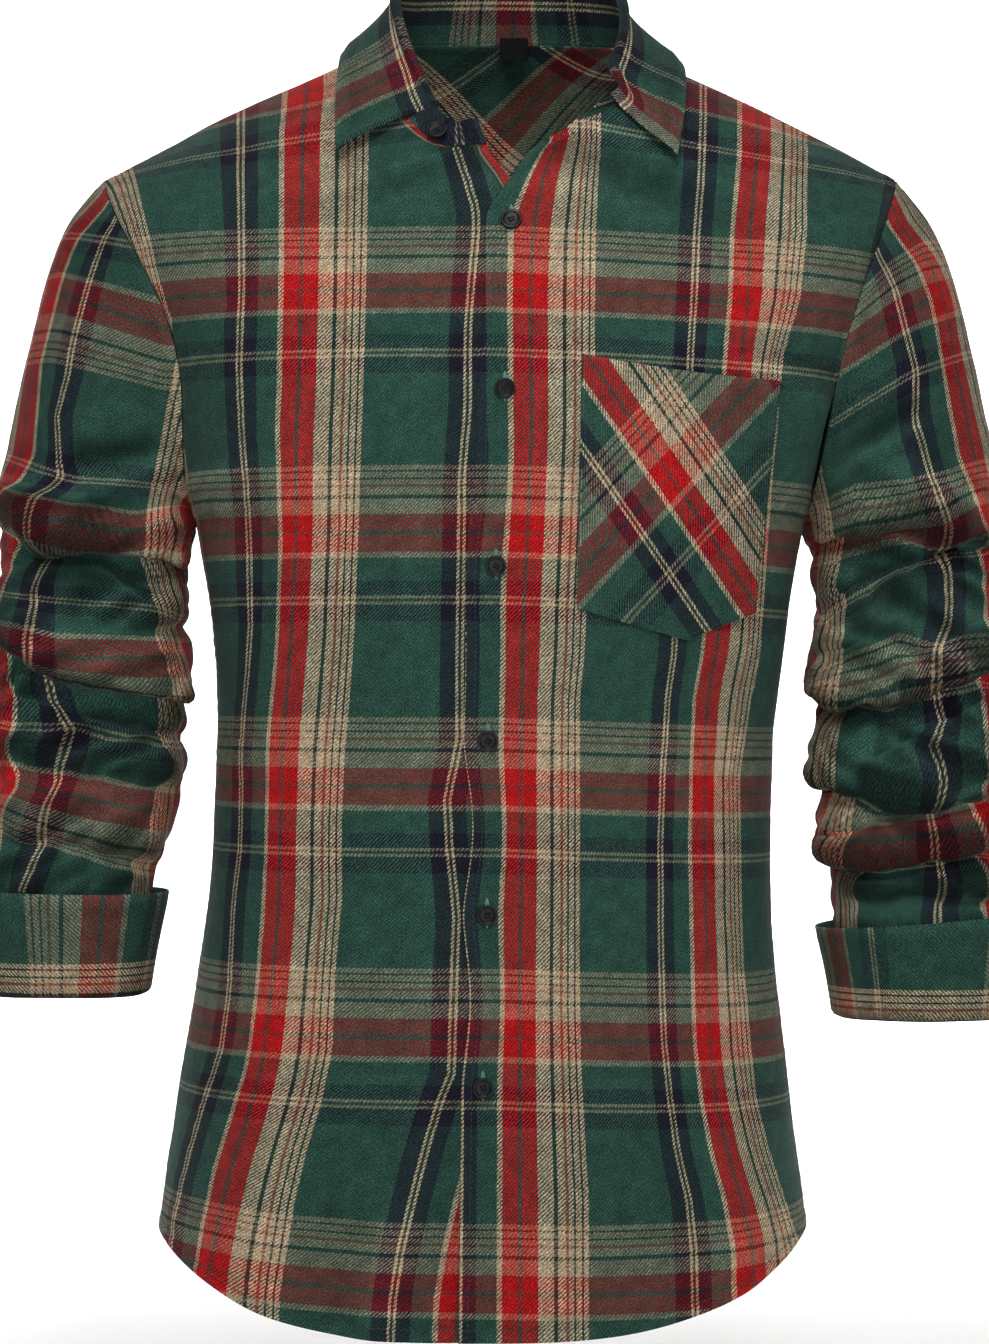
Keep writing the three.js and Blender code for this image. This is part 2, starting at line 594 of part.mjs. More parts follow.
// Makes a closed wall from the points of its outer face. round: each row closes on itself.
function wallGeometry(rows, thickness, { round = false, flip = false } = {}) {
  const [m, n] = [rows.length, rows[0].length];
  const at = (r, c) => rows[clamp(r, 0, m - 1)][round ? (c + n) % n : clamp(c, 0, n - 1)];
  const outer = [];
  const inner = [];
  for (let r = 0; r < m; r += 1)
    for (let c = 0; c < n; c += 1) {
      const along = at(r, c + 1).clone().sub(at(r, c - 1));
      const up = at(r + 1, c).clone().sub(at(r - 1, c));
      const normal = along.cross(up).normalize();
      if (flip) normal.negate();
      outer.push(rows[r][c]);
      inner.push(rows[r][c].clone().addScaledVector(normal, -thickness));
    }
  const vertices = [...outer, ...inner];
  const faces = [];
  const quad = (a, b, c, d) => faces.push(...(flip ? [a, c, b, a, d, c] : [a, b, c, a, c, d]));
  const index = (r, c) => r * n + (round ? (c + n) % n : c);
  const shift = m * n;
  for (let r = 0; r < m - 1; r += 1)
    for (let c = 0; c < (round ? n : n - 1); c += 1) {
      const [p, q, s, t] = [index(r, c), index(r, c + 1), index(r + 1, c + 1), index(r + 1, c)];
      quad(p, q, s, t);
      quad(shift + p, shift + t, shift + s, shift + q);
    }
  for (let c = 0; c < (round ? n : n - 1); c += 1) {
    const [p, q] = [index(0, c), index(0, c + 1)];
    quad(p, shift + p, shift + q, q);
    const [s, t] = [index(m - 1, c), index(m - 1, c + 1)];
    quad(s, t, shift + t, shift + s);
  }
  if (!round)
    for (let r = 0; r < m - 1; r += 1) {
      const [p, q] = [index(r, 0), index(r + 1, 0)];
      quad(p, q, shift + q, shift + p);
      const [s, t] = [index(r, n - 1), index(r + 1, n - 1)];
      quad(s, shift + s, shift + t, t);
    }
  const geometry = new THREE.BufferGeometry();
  geometry.setAttribute("position", new THREE.Float32BufferAttribute(vertices.flatMap((v) => [v.x, v.y, v.z]), 3));
  geometry.setIndex(faces);
  geometry.computeVertexNormals();
  return geometry;
}

const shirt = new THREE.Group();
function add(name, geometry, material) {
  const mesh = new THREE.Mesh(geometry, material);
  mesh.name = name;
  shirt.add(mesh);
}

// Shortens every row at its ends, and the first and last rows, to leave the gap of a seam.
function trim(rows, ends) {
  const shorten = (a, b, gap) => a.clone().lerp(b, gap / a.distanceTo(b));
  const out = rows.map((row) => row.map((p) => p.clone()));
  const last = out[0].length - 1;
  out.forEach((row, r) => {
    if (ends.start) row[0] = shorten(rows[r][0], rows[r][1], ends.start);
    if (ends.end) row[last] = shorten(rows[r][last], rows[r][last - 1], ends.end);
  });
  if (ends.top)
    out[out.length - 1] = out[out.length - 1].map((p, i) => shorten(p, out[out.length - 2][i], ends.top));
  if (ends.bottom) out[0] = out[0].map((p, i) => shorten(p, out[1][i], ends.bottom));
  return out;
}

// The outer face of a panel at a place seen from the front.
function faceY(rows, x, z) {
  for (let r = 0; r < rows.length - 1; r += 1)
    for (let c = 0; c < rows[0].length - 1; c += 1) {
      const [p, q, s, t] = [rows[r][c], rows[r][c + 1], rows[r + 1][c + 1], rows[r + 1][c]];
      for (const [a, b, d] of [[p, q, s], [p, s, t]]) {
        const area = (b.x - a.x) * (d.z - a.z) - (d.x - a.x) * (b.z - a.z);
        const u = ((x - a.x) * (d.z - a.z) - (d.x - a.x) * (z - a.z)) / area;
        const v = ((b.x - a.x) * (z - a.z) - (x - a.x) * (b.z - a.z)) / area;
        if (u >= -1e-6 && v >= -1e-6 && u + v <= 1 + 1e-6) return a.y + u * (b.y - a.y) + v * (d.y - a.y);
      }
    }
  return NaN;
}

const pocketCells = 10;
function pocketPanel(rows) {
  const out = [];
  for (let r = 0; r <= pocketCells; r += 1) {
    const up = r / pocketCells;
    const row = [];
    for (let i = 0; i <= pocketCells; i += 1) {
      const t = i / pocketCells;
      const low =
        t < pocketLow.middleAt
          ? mix(pocketLow.left, pocketLow.middle, t / pocketLow.middleAt)
          : mix(pocketLow.middle, pocketLow.right, (t - pocketLow.middleAt) / (1 - pocketLow.middleAt));
      const x = mix(mix(pocket.lowLeft, pocket.lowRight, t), mix(pocket.left, pocket.right, t), up);
      const z = mix(low, mix(pocket.topLeft, pocket.topRight, t), up);
      const acrossSlope = (faceY(rows, x + 5, z) - faceY(rows, x - 5, z)) / 10;
      const upSlope = (faceY(rows, x, z + 5) - faceY(rows, x, z - 5)) / 10;
      const steep = Math.hypot(1, acrossSlope, upSlope);
      row.push(new THREE.Vector3(x, faceY(rows, x, z) - (pocketGap + wall) * steep, z));
    }
    out.push(row);
  }
  return out;
}

function buttonGeometry() {
  const disc = new THREE.Shape();
  for (let i = 0; i < button.sides; i += 1) {
    const a = (i * 2 * Math.PI) / button.sides;
    const move = i === 0 ? "moveTo" : "lineTo";
    disc[move](button.radius * Math.cos(a), button.radius * Math.sin(a));
  }
  for (const [hx, hy] of [[1, 1], [-1, 1], [-1, -1], [1, -1]]) {
    const hole = new THREE.Path();
    for (let i = 0; i < 6; i += 1) {
      const a = (i * Math.PI) / 3;
      const move = i === 0 ? "moveTo" : "lineTo";
      hole[move](hx * button.holeAt + button.hole * Math.cos(a), hy * button.holeAt + button.hole * Math.sin(a));
    }
    disc.holes.push(hole);
  }
  return new THREE.ExtrudeGeometry(disc, { depth: button.thickness, bevelEnabled: false });
}

// A button whose back lies just off a surface that faces along a direction.
function addButton(name, place, facing) {
  const mesh = new THREE.Mesh(buttonGeometry(), materials.button);
  mesh.name = name;
  mesh.quaternion.setFromUnitVectors(new THREE.Vector3(0, 0, 1), facing);
  mesh.position.copy(place).addScaledVector(facing, trimGap);
  shirt.add(mesh);
}

const leftRows = frontPanel(1);
add("front_left", wallGeometry(trim(leftRows, { end: 0.5, top: 0.9 }), wall), materials.body);
add("front_right", wallGeometry(trim(frontPanel(-1), { end: 0.5, top: 0.9 }), wall, { flip: true }), materials.body);
add("back", wallGeometry(trim(backPanel(), { start: 0.5, end: 0.5, top: 0.4 }), wall, { flip: true }), materials.body);
add("yoke", wallGeometry(trim(yokePanel(), { bottom: 0.4, top: 0.6 }), wall, { flip: true }), materials.body);
add("sleeve_left", wallGeometry(sleevePanel(1), wall, { round: true, flip: true }), materials.sleeve);
add("sleeve_right", wallGeometry(sleevePanel(-1), wall, { round: true }), materials.sleeve);
add("cuff_left", wallGeometry(cuffPanel(1), cuff.wall), materials.sleeve);
add("cuff_right", wallGeometry(cuffPanel(-1), cuff.wall, { flip: true }), materials.sleeve);
add("collar_stand", wallGeometry(standPanel(), wall), materials.collar);
add("collar_leaf", wallGeometry(leafPanel(), wall, { flip: true }), materials.collar);
add("pocket", wallGeometry(pocketPanel(leftRows), wall), materials.body);

buttons.forEach((b, i) => {
  const y = faceY(leftRows, b.x, b.z);
  const acrossSlope = (faceY(leftRows, b.x + 6, b.z) - faceY(leftRows, b.x - 6, b.z)) / 12;
  const upSlope = (faceY(leftRows, b.x, b.z + 6) - faceY(leftRows, b.x, b.z - 6)) / 12;
  const facing = new THREE.Vector3(acrossSlope, -1, upSlope).normalize();
  addButton(`button_${i + 1}`, new THREE.Vector3(b.x, y, b.z), facing);
});

const standRight = (along, up) => standPoint(along, up, 0);
const standFace = standRight(collarButton.along + 0.02, collarButton.up)
  .sub(standRight(collarButton.along - 0.02, collarButton.up))
  .cross(standRight(collarButton.along, 1).sub(standRight(collarButton.along, 0)))
  .normalize()
  .negate();
addButton("button_collar", standRight(collarButton.along, collarButton.up).addScaledVector(standFace, 1.4), standFace);

const tag = new THREE.Mesh(new THREE.BoxGeometry(label.width, label.wall, label.height), materials.label);
tag.name = "neck_label";
tag.position.set(label.x, label.y, label.z);
shirt.add(tag);

export default shirt;
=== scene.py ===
import bpy
import math
from mathutils import Matrix, Vector, noise


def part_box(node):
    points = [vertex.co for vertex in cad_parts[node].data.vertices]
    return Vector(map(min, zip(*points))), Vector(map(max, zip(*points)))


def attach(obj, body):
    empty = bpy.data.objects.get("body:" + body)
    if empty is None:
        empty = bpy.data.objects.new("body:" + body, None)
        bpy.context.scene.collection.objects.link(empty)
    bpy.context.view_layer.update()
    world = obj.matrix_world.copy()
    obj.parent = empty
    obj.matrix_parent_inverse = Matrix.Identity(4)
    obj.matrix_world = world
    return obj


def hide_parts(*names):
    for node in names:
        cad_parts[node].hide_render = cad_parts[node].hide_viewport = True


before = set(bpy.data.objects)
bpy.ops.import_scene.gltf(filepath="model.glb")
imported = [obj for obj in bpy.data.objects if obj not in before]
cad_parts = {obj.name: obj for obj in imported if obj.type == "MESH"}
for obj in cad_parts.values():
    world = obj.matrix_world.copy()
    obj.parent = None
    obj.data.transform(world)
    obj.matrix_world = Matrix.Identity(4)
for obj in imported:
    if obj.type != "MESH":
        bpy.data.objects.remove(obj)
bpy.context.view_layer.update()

mm = 0.001
# The camera's place in mm, mm for each picture point, the picture's middle, and how much nearer the sleeves look
view = {"x": -3.2, "y": -2200, "z": -353.8, "scale": 0.58, "middle": (494.5, 672), "sleeves": 1.025,
        "lens": 101.6, "sensor": 36}


def clamp(value, low, high):
    return min(high, max(low, value))


def mix(a, b, t):
    return a + (b - a) * t


def smooth(t):
    t = clamp(t, 0, 1)
    return t * t * (3 - 2 * t)


def column(rows, by, name, at):  # a column of a table, on a curve that never overshoots its rows
    rows = rows if rows[0][by] <= rows[-1][by] else rows[::-1]
    x = clamp(at, rows[0][by], rows[-1][by])
    i = 0
    while i < len(rows) - 2 and x > rows[i + 1][by]:
        i += 1

    def slope(k):
        if k <= 0 or k >= len(rows) - 1:
            return 0
        before = (rows[k][name] - rows[k - 1][name]) / (rows[k][by] - rows[k - 1][by])
        after = (rows[k + 1][name] - rows[k][name]) / (rows[k + 1][by] - rows[k][by])
        return 0 if before * after <= 0 else 2 * before * after / (before + after)

    width = rows[i + 1][by] - rows[i][by]
    t = (x - rows[i][by]) / width
    a, b = rows[i][name], rows[i + 1][name]
    ma, mb = slope(i) * width, slope(i + 1) * width
    return (a * (2 * t**3 - 3 * t**2 + 1) + ma * (t**3 - 2 * t**2 + t)
            + b * (3 * t**2 - 2 * t**3) + mb * (t**3 - t**2))


def table(names, rows):
    return [dict(zip(names.split(), row)) for row in rows]


def line(points, at, beyond=False):  # straight between the points, and past them if beyond
    if at <= points[0][0] and not beyond:
        return points[0][1]
    for (a, va), (b, vb) in zip(points, points[1:]):
        if at <= b:
            return va + (vb - va) * (at - a) / (b - a)
    return vb + (vb - va) * (at - b) / (b - a) if beyond else points[-1][1]


def picturePlace(p, nearer=None):  # where the photograph shows a place
    m = nearer or view["y"] / (view["y"] - p.y)
    return (view["middle"][0] + (p.x - view["x"]) * m / view["scale"],
            view["middle"][1] + (view["z"] - p.z) * m / view["scale"])


# The shirt's form, in millimetres: the same sections as the solids
form = {
    "power": 2.4, "armpitZ": -266, "shoulderX": 229, "neckX": 75, "neckZ": 8, "slope": 0.5,
    "rounding": 70, "ridgeY": 6, "wall": 1.1,
    "torso": table("z cx half front back", [
        (-760, -10, 192, 136, 131), (-672, -9.9, 186, 133, 127), (-602, -9.6, 177.5, 130, 122),
        (-532, -7.5, 167.5, 127, 117), (-463, -5.2, 161, 124, 113), (-393, -2.9, 160.5, 125, 112),
        (-324, -0.3, 166.5, 130, 116), (-266, 0, 176, 135, 121), (-200, 0, 188, 137, 126),
        (-140, 0, 216, 128, 127), (-100, 0, 244, 113, 120), (-50, 0, 275, 92, 104),
        (0, 0, 295, 70, 84), (40, 0, 300, 60, 66)]),
    "hem": {"front": -719, "back": -735, "side": -671, "power": 3},
    "yokeBackZ": -62, "yokeTurn": 228, "seamRise": 2.5,
}
armhole = {"lowX": 176, "lowZ": -266, "topZ": -68, "halfDepth": 63, "frontInset": {-1: 18, 1: 7}, "frontBow": 4.4,
           "backInset": 15, "backBow": 2.2}
neckSeam = [(-8, -90, -59), (-33, -88, -59), (-60, -62, -30), (-70, -8, 6), (-50, 48, 17), (5, 70, 21),
            (60, 47, 16), (80, -6, 3), (78, -50, -20), (64, -76, -38), (42, -84, -46)]
overEdge = table("z x", [(-740, -23), (-600, -21), (-463, -20), (-324, -19.5), (-238, -15), (-157, -8.5),
                         (-104, -7.5), (-80, 6.5), (-61, 19), (-46, 42)])
underEdge = table("z x", [(-740, 8), (-324, 11), (-150, 17), (-100, 12), (-80, 4), (-59, -8)])
buttonPlaces = [(6, -105), (2.5, -199.5), (-2.4, -296), (-6.8, -391.5), (-7.3, -487), (-9.5, -581)]

# Folds of the body: (face, x at the top, lean, top, bottom, width, depth)
bodyFolds = [
    ("front", -150, 26, -235, -330, 11, -3.5), ("front", 152, -24, -240, -345, 11, -3.5),
    ("front", -118, -20, -560, -760, 22, 5), ("front", 112, 30, -560, -760, 20, 5),
    ("front", -52, -26, -610, -760, 15, 4), ("back", -70, 12, -250, -560, 17, -5),
    ("back", 66, -10, -270, -590, 18, -5), ("back", -5, 8, -330, -640, 20, -4),
    ("back", -128, -18, -540, -770, 22, 5), ("back", 124, 20, -540, -770, 22, 5),
    ("back", 20, 26, -560, -770, 24, 5),
]


def torsoAt(name, z):
    return column(form["torso"], "z", name, z)


def formY(face, x, z):  # depth of the body's form seen from the front: face -1 is the front
    side = clamp(abs(x - torsoAt("cx", z)) / torsoAt("half", z), 0, 1)
    across = (1 - side**form["power"]) ** (1 / form["power"])
    shoulderZ = form["neckZ"] - form["slope"] * (abs(x) - form["neckX"])
    below = clamp((shoulderZ - z) / form["rounding"], 0, 1)
    turn = math.sqrt(max(0, 1 - (1 - below) ** 2))
    base = form["ridgeY"] * smooth((z - form["armpitZ"]) / 160)
    return base + face * torsoAt("front" if face < 0 else "back", z) * across * turn


def foldDepth(face, x, z):
    name, total = ("front" if face < 0 else "back"), 0
    for where, x0, lean, top, bottom, width, depth in bodyFolds:
        if where == name:
            down = (top - z) / (top - bottom)
            fade = smooth(down * 3) * (1 if bottom < form["hem"]["side"] else smooth((1 - down) * 3))
            total += depth * math.exp(-(((x - x0 - lean * down) / width) ** 2)) * fade
    return total


def armholePoint(side, turn):  # 0 is the underarm, 90 the front, 180 the shoulder, 270 the back
    a = math.radians(turn)
    up = (1 - math.cos(a)) / 2
    inset, bow = armhole["backInset"], armhole["backBow"]
    if math.sin(a) > 0:
        inset, bow = armhole["frontInset"][side], armhole["frontBow"]
    x = mix(armhole["lowX"], form["shoulderX"], up) - inset * abs(math.sin(a)) ** bow
    y = form["ridgeY"] * up - armhole["halfDepth"] * math.sin(a)
    return Vector((side * x, y, mix(armhole["lowZ"], armhole["topZ"], up)))


def splinePoints(points, steps):  # centripetal Catmull-Rom through the points
    pts = [Vector(p) for p in points]
    pts = [pts[0] * 2 - pts[1]] + pts + [pts[-1] * 2 - pts[-2]]
    out = []
    for k in range(1, len(pts) - 2):
        p0, p1, p2, p3 = pts[k - 1:k + 3]
        t0, t1 = 0, max(1e-4, (p1 - p0).length) ** 0.5
        t2 = t1 + max(1e-4, (p2 - p1).length) ** 0.5
        t3 = t2 + max(1e-4, (p3 - p2).length) ** 0.5
        for i in range(steps):
            t = mix(t1, t2, i / steps)
            a1 = p0 * ((t1 - t) / (t1 - t0)) + p1 * ((t - t0) / (t1 - t0))
            a2 = p1 * ((t2 - t) / (t2 - t1)) + p2 * ((t - t1) / (t2 - t1))
            a3 = p2 * ((t3 - t) / (t3 - t2)) + p3 * ((t - t2) / (t3 - t2))
            b1 = a1 * ((t2 - t) / (t2 - t0)) + a2 * ((t - t0) / (t2 - t0))
            b2 = a2 * ((t3 - t) / (t3 - t1)) + a3 * ((t - t1) / (t3 - t1))
            out.append(b1 * ((t2 - t) / (t2 - t1)) + b2 * ((t - t1) / (t2 - t1)))
    return out + [Vector(points[-1])]


class Path:  # a polyline that is read by its share of the whole length
    def __init__(self, points):
        self.points = points
        self.at = [0]
        for a, b in zip(points, points[1:]):
            self.at.append(self.at[-1] + (b - a).length)

    def point(self, share):
        want = clamp(share, 0, 1) * self.at[-1]
        low, high = 0, len(self.at) - 1
        while high - low > 1:
            middle = (low + high) // 2
            low, high = (middle, high) if self.at[middle] <= want else (low, middle)
        span = self.at[high] - self.at[low]
        return self.points[low].lerp(self.points[high], (want - self.at[low]) / span if span else 0)

    def outward(self, share):  # level direction away from the neck
        d = self.point(share + 0.004) - self.point(share - 0.004)
        return Vector((-d.y, d.x, 0)).normalized()


def evenly(points, count):
    path = Path(points)
    return [path.point(i / count) for i in range(count + 1)]


seamSteps = 24
neckPath = Path(splinePoints(neckSeam, seamSteps))
neckPointAt = {-1: neckPath.at[3 * seamSteps] / neckPath.at[-1], 1: neckPath.at[7 * seamSteps] / neckPath.at[-1]}


def seamLine(start, end, t):
    p = start.lerp(end, t)
    p.z += form["seamRise"] * math.sin(math.pi * t)
    return p


def shoulderSeam(side, t):
    return seamLine(neckPath.point(neckPointAt[side]), armholePoint(side, 180), t)


print("form ready")


def bodyRow(face, start, end, count, sink=None):
    fine, samples = [], frontGrid["samples"]
    for i in range(samples + 1):
        t = i / samples
        across = math.sin(t * math.pi / 2)
        x, z = mix(start.x, end.x, across), mix(start.z, end.z, across)
        first = (start.y - formY(face, start.x, start.z)) * (1 - smooth(t * 1.8))
        last = (end.y - formY(face, end.x, end.z)) * t**4
        y = formY(face, x, z) + first + last + face * foldDepth(face, x, z) * math.sin(math.pi * t) ** 0.5
        fine.append(Vector((x, y - face * (sink(x) if sink else 0), z)))
    return evenly(fine, count)


def hemZ(face, across):
    hem = form["hem"]
    return mix(hem["front"] if face < 0 else hem["back"], hem["side"], clamp(abs(across), 0, 1) ** hem["power"])


gapBows = [0.4, 2.0, 1.0, 5.0, 4.0]  # how far the edge bows open between two buttons, from the top down


def gapBow(z):
    heights = [place[1] for place in buttonPlaces]
    for bow, high, low in zip(gapBows, heights, heights[1:]):
        if low <= z <= high:
            return bow * math.sin(math.pi * (high - z) / (high - low)) ** 1.5
    return 0


def edgeX(side, z):  # the closing edge of a front, which bows open between the buttons
    if side > 0:
        return column(overEdge, "z", "x", z) + gapBow(z)
    return column(underEdge, "z", "x", z)


frontGrid = {"low": 112, "high": 58, "across": 58, "neckFrom": 0.62, "drop": 2.2, "fadeFrom": 22, "fadeTo": 48,
             "samples": 72, "pullFrom": -74, "sinkTo": 0.9, "flatFrom": 0.8}


def frontPanel(side):
    g, samples = frontGrid, frontGrid["samples"]
    topZ = (overEdge if side > 0 else underEdge)[-1]["z"]

    def under(x):
        return g["drop"] * (1 - smooth((-x - g["fadeFrom"]) / (g["fadeTo"] - g["fadeFrom"])))

    sink = None if side > 0 else under
    rows = []
    for r in range(g["low"] + 1):
        t, fine = r / g["low"], []
        for i in range(samples + 1):
            turn = i / samples * math.pi / 2
            z = mix(hemZ(-1, math.sin(turn)), form["armpitZ"], t)
            startX, half, cx = edgeX(side, z), torsoAt("half", z), torsoAt("cx", z)
            first = math.asin(clamp(abs(startX - cx) / half, 0, 1) ** (form["power"] / 2))
            a = mix(math.copysign(first, (startX - cx) * side), math.pi / 2, i / samples)
            x = cx + side * half * math.copysign(abs(math.sin(a)) ** (2 / form["power"]), a)
            reach = clamp((x - cx) / (side * half), -1, 1)
            zHere = mix(hemZ(-1, reach), form["armpitZ"], t)
            y = formY(-1, x, zHere) - foldDepth(-1, x, zHere) * (1 - abs(reach) ** 8)
            fine.append(Vector((x, y + (sink(x) if sink else 0), zHere)))
        rows.append(evenly(fine, g["across"]))
    for r in range(1, g["high"] + 1):
        w = r / g["high"]
        end = armholePoint(side, 180 * w**0.9)
        if w <= g["neckFrom"]:
            z = mix(form["armpitZ"], topZ, w / g["neckFrom"])
            x = edgeX(side, z)
            collarEnd = neckSeam[-1] if side > 0 else neckSeam[0]
            pull = smooth((z - g["pullFrom"]) / (topZ - g["pullFrom"]))
            start = Vector((x, mix(formY(-1, x, z), collarEnd[1], pull), z))
        else:
            share = (w - g["neckFrom"]) / (1 - g["neckFrom"])
            start = neckPath.point(mix(1, neckPointAt[1], share) if side > 0 else neckPointAt[-1] * share)
        row = bodyRow(-1, start, end, g["across"], sink if w < g["sinkTo"] else None)
        flat = smooth((w - g["flatFrom"]) / (1 - g["flatFrom"]))
        rows.append([p.lerp(seamLine(start, end, i / g["across"]), flat) for i, p in enumerate(row)])
    return rows


backGrid = {"low": 104, "high": 46, "across": 92, "samples": 110}


def backPanel():
    g, samples, rows = backGrid, backGrid["samples"], []
    for r in range(g["low"] + 1):
        t, fine = r / g["low"], []
        for i in range(samples + 1):
            a = mix(-math.pi / 2, math.pi / 2, i / samples)
            reach = math.copysign(abs(math.sin(a)) ** (2 / form["power"]), a)
            z = mix(hemZ(1, reach), form["armpitZ"], t)
            x = torsoAt("cx", z) + torsoAt("half", z) * reach
            fine.append(Vector((x, formY(1, x, z) + foldDepth(1, x, z) * (1 - abs(reach) ** 8), z)))
        rows.append(evenly(fine, g["across"]))
    for r in range(1, g["high"] + 1):
        w = r / g["high"]
        turn, middleZ = 360 - (360 - form["yokeTurn"]) * w, mix(form["armpitZ"], form["yokeBackZ"], w)
        rows.append(backRow(turn, middleZ, g["across"]))
    return rows


def backRow(turn, middleZ, count):
    end, fine, samples = armholePoint(1, turn), [], backGrid["samples"]
    for i in range(samples + 1):
        x = end.x * math.sin(mix(-1, 1, i / samples) * math.pi / 2)
        away = abs(x) / end.x
        z = mix(middleZ, end.z, away**2)
        wanted = end.y - formY(1, end.x, end.z)
        fine.append(Vector((x, formY(1, x, z) + wanted * away**3 + foldDepth(1, x, z) * (1 - away**4), z)))
    return evenly(fine, count)


yokeGrid = {"down": 30, "across": 110, "shoulder": 0.36, "bulgeUp": (9, 13), "bulgeBack": (6, 14), "ringFade": 22,
            "warpFrom": 47.4, "warp": 191, "weftFrom": -16.6, "weft": 215}


def yokePanel():
    g = yokeGrid
    low, rows = backRow(form["yokeTurn"], form["yokeBackZ"], g["across"]), []
    for r in range(g["down"] + 1):
        t, fine = r / g["down"], []
        for i in range(g["across"] + 1):
            s = i / g["across"]
            if s < g["shoulder"]:
                top = shoulderSeam(-1, 1 - s / g["shoulder"])
            elif s > 1 - g["shoulder"]:
                top = shoulderSeam(1, (s - 1 + g["shoulder"]) / g["shoulder"])
            else:
                share = (s - g["shoulder"]) / (1 - 2 * g["shoulder"])
                top = neckPath.point(mix(neckPointAt[-1], neckPointAt[1], share))
            side, bulge = abs(mix(-1, 1, s)), math.sin(math.pi * t)
            p = low[i].lerp(top, t)
            p.z += bulge * mix(*g["bulgeUp"], side**2)
            p.y += bulge * mix(*g["bulgeBack"], side**2)
            ring = armholePoint(-1 if s < 0.5 else 1, mix(form["yokeTurn"], 180, t))
            fine.append(p.lerp(ring, smooth(1 - min(s, 1 - s) * g["ringFade"])))
        rows.append(fine)
    return rows


sleeveSections = [dict(row, t=i / 11) for i, row in enumerate(table("outX outZ inX inZ y halfDepth", [
    (229, -68, 176, -266, 0, 63), (247, -92, 178.5, -275, 0, 64), (260, -124, 180.5, -284, 0, 64),
    (270, -160, 181, -296, 0, 63), (279, -202, 181, -310, 0, 61), (286, -240, 181, -326, -1, 59),
    (290, -282, 180.5, -345, -2, 57), (293, -330, 181, -372, -4, 55), (295, -380, 182, -401, -8, 53),
    (296, -430, 185, -436, -13, 50), (296, -478, 192, -478, -19, 46), (294, -534, 197, -534, -25, 43)]))]
sleevePower = 2.2
sleeveFolds = {  # height, slant, facing, spread, width, depth
    -1: [(-250, 20, 150, 60, 11, -5), (-262, -8, 60, 90, 13, 6), (-282, 12, 90, 110, 9, -10),
         (-312, -6, 130, 80, 12, 5), (-338, 10, 160, 70, 9, -6), (-353, -16, 90, 100, 10, 6),
         (-376, -14, 110, 120, 8, -11), (-398, -12, 60, 80, 11, 5), (-424, -10, 40, 70, 9, -6),
         (-446, -20, 110, 90, 11, -4), (-300, 8, 270, 90, 10, -8), (-352, -10, 260, 100, 11, -8),
         (-408, 8, 280, 90, 10, -7), (-452, -6, 250, 80, 10, -5)],
    1: [(-236, 34, 120, 60, 12, -5), (-270, 10, 70, 90, 13, 6), (-292, -26, 100, 100, 9, -9),
        (-322, -30, 120, 80, 12, 6), (-346, -34, 130, 90, 9, -9), (-366, -30, 90, 80, 10, 5),
        (-388, -30, 100, 110, 8, -9), (-424, -22, 90, 110, 8, -11), (-440, -6, 150, 60, 12, 7),
        (-458, -14, 120, 80, 9, -6), (-296, -8, 270, 90, 10, -8), (-344, 10, 260, 100, 11, -8),
        (-398, -8, 280, 90, 10, -7), (-448, 6, 250, 80, 10, -5)],
}
# Folds that hang over a crease: (place across, height in the picture), ridge, width above, crease depth, overhang
sleeveDrapes = {
    -1: [([(-20, 515), (0, 522), (27, 535), (59, 541), (105, 543), (132, 548), (200, 556)], 9, 17, 9, 6),
         ([(88, 560), (118, 566), (140, 582), (170, 588)], 5, 14, 5, 3),
         ([(-20, 622), (0, 640), (27, 655), (59, 675), (114, 684), (166, 689), (200, 690)], 9, 16, 8, 6),
         ([(50, 706), (90, 716), (140, 728), (185, 748)], -4, 12, 5, 1),
         ([(-20, 760), (20, 758), (60, 770), (130, 776), (190, 780)], 4, 16, 3, 1),
         ([(-10, 838), (60, 836), (120, 850), (170, 862)], 4, 15, 4, 2),
         ([(60, 470), (110, 462), (160, 448), (196, 425)], 3, 14, 3, 0)],
    1: [([(800, 545), (816, 536), (848, 528), (898, 524), (948, 529), (1010, 540)], 8, 15, 8, 5),
        ([(815, 480), (850, 452), (890, 425), (930, 408)], 3, 13, 4, 0),
        ([(824, 622), (852, 600), (890, 572), (925, 552), (960, 540)], -9, 11, 10, 0),
        ([(805, 640), (822, 642), (850, 636), (880, 622)], 4, 10, 4, 2),
        ([(800, 676), (834, 692), (880, 700), (925, 684), (1010, 658)], 10, 17, 9, 6),
        ([(800, 772), (825, 782), (853, 788), (880, 794), (925, 802), (1010, 782)], 10, 19, 9, 6),
        ([(836, 746), (870, 722), (905, 705), (960, 696)], -7, 12, 8, 0),
        ([(800, 862), (834, 858), (880, 864), (939, 852), (1010, 842)], 9, 13, 8, 5),
        ([(815, 826), (857, 824), (925, 816), (1000, 800)], 4, 9, 4, 2),
        ([(840, 898), (900, 892), (960, 896), (1010, 890)], 4, 12, 4, 2)],
}


def bell(d, width):
    return math.exp(-((d / width) ** 2))


hangingFold = {"reach": (-40, 70), "ends": 28, "ridgeAt": 5, "under": 3.5, "creaseWide": 7, "overWide": 8,
               "back": 0.45}


